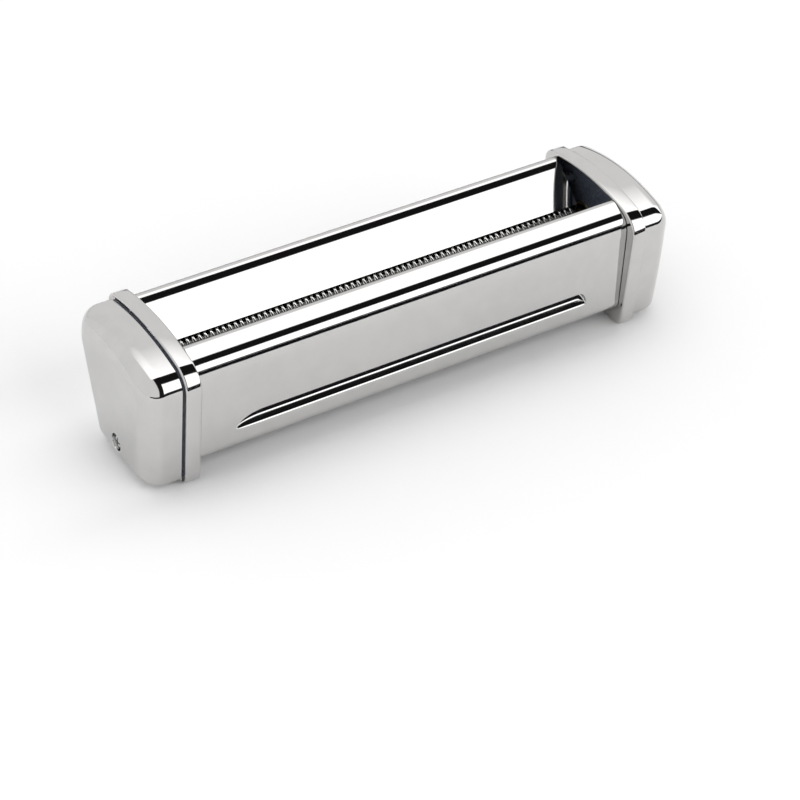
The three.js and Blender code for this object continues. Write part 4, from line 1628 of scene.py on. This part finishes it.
@dataclass(frozen=True)
class TieRods:
    """Four threaded rods between the side plates, each with two nuts."""

    rod_radius: float = 2.5
    thread_radius: float = 1.7
    thread_depth: float = 0.22
    thread_pitch: float = 0.7
    shoulder_x: float = 119.4
    across_flats: float = 6.5
    nut_bore: float = 2.0
    nut_lead: float = 0.3
    corner_cone: float = 1.7  # growth of the radius for each millimetre from the face
    cone_inset: float = 0.05

    def rod(self, wardrobe: Wardrobe, name: str) -> None:
        """A rod whose stubs are helical threads.

        The thread's depth is a triangle wave of X over the pitch less the angle over a full turn.

        Args:
            wardrobe: the materials.
            name: the CAD node.
        """
        low, high = extent(name)
        axis = tuple((low[1:] + high[1:]) / 2)
        stop = high[0]
        stub = np.arange(self.shoulder_x + 0.6, stop - 0.4, self.thread_pitch / 8)
        half = np.concatenate([[self.shoulder_x - 0.4, self.shoulder_x, self.shoulder_x], stub, [stop - 0.35, stop]])
        x = np.concatenate([-half[::-1], half])
        angle = np.linspace(0, 2 * math.pi, 32, endpoint=False)
        wave = np.abs(np.mod(x[:, None] / self.thread_pitch - angle / (2 * math.pi), 1) - 0.5) * 2
        thread = self.thread_radius - self.thread_depth * wave
        radius = np.where(np.abs(x)[:, None] > self.shoulder_x + 0.3, thread, self.thread_radius)
        inside = np.arange(len(half))
        body = np.select([inside == 0, inside == 1], [self.rod_radius, self.rod_radius - 0.4], 0.0)
        body = np.concatenate([body[::-1], body])
        tip = np.isclose(np.abs(x), stop)
        radius = np.where(body[:, None] > 0, body[:, None], radius) - 0.4 * tip[:, None]
        piece = make_piece(f"threaded_{name}", Shell.tube(radial(x, radius, axis, angle)))
        wardrobe.dress(piece, Slot.ZINC, "housing", name)

    def nut(self, wardrobe: Wardrobe, name: str) -> None:
        """A hexagon nut whose corners are cut by a cone from each face.

        Its radius is the smaller of the hexagon's and of a cone's that grows with the distance from the face.

        Args:
            wardrobe: the materials.
            name: the CAD node.
        """
        low, high = extent(name)
        axis = tuple((low[1:] + high[1:]) / 2)
        angle = np.linspace(0, 2 * math.pi, 96, endpoint=False)
        depth = np.array([0.0, 0.08, 0.16, 0.26, 0.4, 0.6])
        depth = np.concatenate([depth, (high[0] - low[0]) - depth[::-1]])
        from_face = np.minimum(depth, high[0] - low[0] - depth)[:, None]
        cone = self.across_flats / 2 - self.cone_inset + self.corner_cone * from_face
        outside = np.minimum(hexagon(self.across_flats, angle)[None], cone)
        flat = np.ones((1, len(angle)))
        lead = self.nut_lead
        radius = np.concatenate(
            [outside, (self.nut_bore + lead) * flat, self.nut_bore * flat, self.nut_bore * flat,
             (self.nut_bore + lead) * flat]
        )
        x = low[0] + np.concatenate([depth, [depth[-1], depth[-1] - lead, lead, 0.0]])
        rings = radial(x, radius, axis, angle)
        piece = make_piece(f"hexagon_{name}", Shell.tube(rings, Closing.JOINED), smooth_turn=math.radians(28))
        wardrobe.dress(piece, Slot.ZINC, "housing", name)

    def build(self, wardrobe: Wardrobe, nodes: Iterable[str]) -> None:
        """Makes every rod and nut among the CAD nodes.

        Args:
            wardrobe: the materials.
            nodes: names of the CAD nodes.
        """
        for name in sorted(nodes):
            if name.startswith("tie_rod_nut"):
                self.nut(wardrobe, name)
            elif name.startswith("tie_rod"):
                self.rod(wardrobe, name)


@dataclass(frozen=True)
class CapScrew:
    """Pan-head screw with a cross recess that holds a cap."""

    end: End
    place: Place = SCREW_PLACE
    head_radius: float = 3.3
    head_height: float = 1.9
    shank_radius: float = 1.6
    slot_width: float = 0.8
    slot_reach: float = 2.3
    slot_depth: float = 1.1
    head_rim: float = 0.5

    def build(self, wardrobe: Wardrobe) -> None:
        """Makes and dresses the screw: above a short rim, the head's height follows a sine and its radius a cosine.

        Args:
            wardrobe: the materials.
        """
        name = f"cap_screw_{self.end.name.lower()}"
        low, high = extent("cap_screw_right")
        tip, crown = low[0], high[0]
        seat = crown - self.head_height
        turn = np.linspace(0, 0.46 * math.pi, 12)
        dome = np.stack(
            [seat + self.head_rim + (self.head_height - self.head_rim) * np.sin(turn),
             self.head_radius * np.cos(turn) ** 0.7], -1
        )
        profile = np.concatenate(
            [[[tip, 0.6], [tip + 1.2, self.shank_radius], [seat, self.shank_radius], [seat, self.head_radius]], dome]
        )
        screw = make_piece(f"cross_{name}", Shell.tube(turned(profile, self.place, 48)).mirrored(self.end))
        y, z = self.place
        for across, up in ((self.slot_reach, self.slot_width / 2), (self.slot_width / 2, self.slot_reach)):
            corners = np.array([[y - across, z - up], [y + across, z - up], [y + across, z + up], [y - across, z + up]])
            rings = np.stack([at_x(corners, crown - self.slot_depth), at_x(corners, crown + 1)])
            combine(screw, make_piece("cross", Shell.tube(rings).mirrored(self.end)), "DIFFERENCE")
        smooth(screw.data, math.radians(35))
        wardrobe.dress(screw, Slot.ZINC, "housing", name)


# ---------------------------------------------------------------- studio


@dataclass(frozen=True)
class Studio:
    """Pale floor, soft light from all round with dark gaps for the chrome to mirror, and the camera."""

    lens: float = 116.0
    camera_place: tuple[float, float, float] = (-0.51278, -0.77007, 0.74012)
    azimuth: float = -34.303
    elevation: float = 39.5
    roll: float = 3.3166
    floor_size: float = 3.2
    floor_tone: float = 0.95
    fill_power: float = 2.0
    fill_size: float = 2.0
    fill_place: tuple[float, float, float] = (-0.3, -0.4, 1.6)
    fill_tilt: tuple[float, float, float] = (-12.0, -10.0, 0.0)  # degrees
    # the black card under the head is painted shade: it darkens the chrome's mirror image of the floor beneath the head
    shade_card_height: float = 3e-4
    gap_stop: tuple[float, float] = (0.02, 0.06)  # sideways part of a direction where the dark gap ends
    left_fade: tuple[float, float] = (-0.42, -0.36)  # sideways part of a direction where the bands fade out
    shade_card_reach: tuple[float, float, float] = (-0.024, 0.025, 0.100)  # front, back and half width
    card_reach: tuple[float, float, float, float] = (-0.30, 0.045, -0.8, 1.2)  # Y, height, left and right
    # Light by height, as the angle over the head from the front horizon: (degrees, brightness)
    bands: tuple[tuple[float, float], ...] = (
        (-180.0, 0.9), (-7.0, 0.9), (-5.0, 0.02), (5.0, 0.02), (8.0, 2.1), (60.0, 2.1), (62.0, 0.01), (90.5, 0.01),
        (92.5, 2.1), (112.0, 1.9), (128.0, 1.0), (170.0, 0.95), (173.0, 0.02), (180.0, 0.02),
    )
    gap_bands: tuple[tuple[float, float], ...] = (
        (-180.0, 0.9), (-7.0, 0.9), (-5.0, 0.02), (90.5, 0.01),
        (92.5, 2.1), (112.0, 1.9), (128.0, 1.0), (170.0, 0.95), (173.0, 0.02), (180.0, 0.02),
    )

    def floor(self) -> None:
        """Pale matt floor."""
        half = self.floor_size / 2
        corners = np.array([[-half, -half, 0], [half, -half, 0], [half, half, 0], [-half, half, 0]])
        mesh = bpy.data.meshes.new("studio_floor")
        mesh.from_pydata(corners, [], [[0, 1, 2, 3]])
        floor = bpy.data.objects.new("studio_floor", mesh)
        bpy.context.scene.collection.objects.link(floor)
        material = bpy.data.materials.new("pale_floor")
        material.use_nodes = True
        surface = material.node_tree.nodes["Principled BSDF"]
        surface.inputs["Base Color"].default_value = (self.floor_tone, self.floor_tone, self.floor_tone, 1)
        surface.inputs["Roughness"].default_value = 0.9
        surface.inputs["Specular IOR Level"].default_value = 0.0
        mesh.materials.append(material)

    def flag(self, name: str, corners: Sequence[Sequence[float]]) -> None:
        """A black card that only the chrome's mirror sees.

        Args:
            name: the card's name.
            corners: its corners in metres.
        """
        mesh = bpy.data.meshes.new(name)
        mesh.from_pydata(corners, [], [[0, 1, 2, 3]])
        card = bpy.data.objects.new(name, mesh)
        bpy.context.scene.collection.objects.link(card)
        card.visible_camera = card.visible_diffuse = card.visible_shadow = False
        material = bpy.data.materials.new(f"{name}_black")
        material.use_nodes = True
        surface = material.node_tree.nodes["Principled BSDF"]
        surface.inputs["Base Color"].default_value = BLACK
        surface.inputs["Specular IOR Level"].default_value = 0.0
        mesh.materials.append(material)

    def flags(self) -> None:
        """A black card under the head as painted shade, which only the chrome's mirror sees below the head, and a low
        card in front for a dark horizon.
        """
        low_y, high_y, half_x = self.shade_card_reach
        up = self.shade_card_height
        # painted shade: a black card under the head, seen only in the chrome's mirror
        self.flag("painted_shade_card", [
            [-half_x, low_y, up], [half_x, low_y, up], [half_x, high_y, up], [-half_x, high_y, up],
        ])
        y, top, left, right = self.card_reach
        self.flag("front_card", [[left, y, 0.0], [right, y, 0.0], [right, y, top], [left, y, top]])

    def ramp(
        self, wiring: Wiring, share: bpy.types.NodeSocket, bands: Sequence[tuple[float, float]]
    ) -> bpy.types.NodeSocket:
        """Light by height.

        Args:
            wiring: the world's wiring.
            share: height as a share of the full turn.
            bands: height in degrees and brightness of each stop.

        Returns:
            The colour output.
        """
        node = wiring.put("ValToRGB", {"Fac": share})
        stops = node.color_ramp.elements
        while len(stops) > 1:
            stops.remove(stops[-1])
        for index, (degrees, light) in enumerate(bands):
            stop = stops[0] if index == 0 else stops.new((degrees + 180) / 360)
            stop.position = (degrees + 180) / 360
            stop.color = (light, light, light, 1)
        return node.outputs["Color"]

    def joined(
        self, wiring: Wiring, across: bpy.types.NodeSocket, between: tuple[float, float],
        left: bpy.types.NodeSocket, right: bpy.types.NodeSocket,
    ) -> bpy.types.NodeSocket:
        """Two lights side by side.

        Args:
            wiring: the world's wiring.
            across: sideways part of the direction.
            between: where the first light gives way to the second.
            left: light below that place.
            right: light above it.

        Returns:
            The colour output.
        """
        share = wiring.put(
            "MapRange", {"Value": across, "From Min": between[0], "From Max": between[1]},
            interpolation_type="SMOOTHSTEP",
        )
        sockets = {"Factor": share.outputs[0], 6: left, 7: right}
        return wiring.put("Mix", sockets, data_type="RGBA").outputs[2]

    def world(self) -> None:
        """Studio light as bands by height, and plain white where the camera looks past the floor.

        The height is the arc tangent of the upward over the forward part of each direction.
        """
        world = bpy.data.worlds.new("studio_light")
        bpy.context.scene.world = world
        world.use_nodes = True
        tree = world.node_tree
        tree.nodes.clear()
        wiring = Wiring(tree)
        direction = wiring.put("TexCoord", {}).outputs["Generated"]
        split = wiring.put("SeparateXYZ", {"Vector": direction})
        forward = wiring.put("Math", {0: split.outputs["Y"], 1: -1.0}, operation="MULTIPLY")
        angle = wiring.put("Math", {0: split.outputs["Z"], 1: forward.outputs[0]}, operation="ARCTAN2")
        share = wiring.put("MapRange", {"Value": angle.outputs[0], "From Min": -math.pi, "From Max": math.pi})
        across = split.outputs["X"]
        gap = self.ramp(wiring, share.outputs[0], self.gap_bands)
        light = self.joined(wiring, across, self.gap_stop, gap, self.ramp(wiring, share.outputs[0], self.bands))
        light = self.joined(wiring, across, self.left_fade, self.ramp(wiring, share.outputs[0], ((0.0, 1.0),)), light)
        studio = wiring.put("Background", {"Color": light, "Strength": 1.0})
        plain = wiring.put("Background", {"Color": (1.0, 1.0, 1.0, 1.0), "Strength": 1.0})
        seen = wiring.put("LightPath", {}).outputs["Is Camera Ray"]
        mixed = wiring.put("MixShader", {0: seen, 1: studio.outputs[0], 2: plain.outputs[0]})
        out = tree.nodes.new("ShaderNodeOutputWorld")
        tree.links.new(mixed.outputs[0], out.inputs["Surface"])

    def fill(self) -> None:
        """A broad soft light overhead for the floor, kept out of the chrome's mirror."""
        light = bpy.data.lights.new("overhead_fill", "AREA")
        light.shape, light.size, light.energy = "SQUARE", self.fill_size, self.fill_power
        lamp = bpy.data.objects.new("overhead_fill", light)
        lamp.location = self.fill_place
        lamp.rotation_euler = tuple(map(math.radians, self.fill_tilt))
        lamp.visible_glossy = False
        bpy.context.scene.collection.objects.link(lamp)

    def camera(self) -> None:
        """Camera turned by azimuth and elevation about the head, then rolled about its own axis."""
        turn, lift, roll = map(math.radians, (self.azimuth, self.elevation, self.roll))
        back = np.array([math.sin(turn) * math.cos(lift), -math.cos(turn) * math.cos(lift), math.sin(lift)])
        right = np.array([math.cos(turn), math.sin(turn), 0.0])
        up = np.cross(back, right)
        data = bpy.data.cameras.new("studio_camera")
        data.lens, data.sensor_width = self.lens, 36.0
        data.clip_start, data.clip_end = 0.05, 20.0
        camera = bpy.data.objects.new("studio_camera", data)
        pose = np.eye(4)
        pose[:3, 0] = math.cos(roll) * right + math.sin(roll) * up
        pose[:3, 1] = -math.sin(roll) * right + math.cos(roll) * up
        pose[:3, 2] = back
        pose[:3, 3] = self.camera_place
        camera.matrix_world = Matrix(pose.tolist())
        bpy.context.scene.collection.objects.link(camera)
        bpy.context.scene.camera = camera

    def build(self) -> None:
        """Sets the whole studio and a plain view transform."""
        self.floor()
        self.flags()
        self.world()
        self.fill()
        self.camera()
        bpy.context.scene.view_settings.view_transform = "Standard"
        bpy.context.scene.view_settings.look = "None"


def main() -> None:
    """Builds the model around its frame and reports each piece."""
    logging.basicConfig(level=logging.INFO, format="%(message)s")
    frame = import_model()
    nodes = frame["nodes"]

    studio = Studio()
    studio.build()
    wardrobe = Wardrobe()
    outline = EndOutline()
    covers = Covers(Groove(), outline)
    covers.build(wardrobe)
    hole = covers.hole()
    for end in End:
        Collar(end, outline, hole).build(wardrobe)
        EndCap(end, outline.inset(CAP_STEP)).build(wardrobe)
        CapScrew(end).build(wardrobe)
        SidePlate(end, outline).build(wardrobe)
    for side, ridges in RIDGES.items():
        CuttingRoller(side, ridges).build(wardrobe)
        SpurGear(side).build(wardrobe)
        wardrobe.dress_node(nodes[f"comb_{side.name.lower()}"], Slot.CUTTER)
    TurnedFittings().build(wardrobe)
    TieRods().build(wardrobe, nodes)


if __name__ == "__main__":
    main()
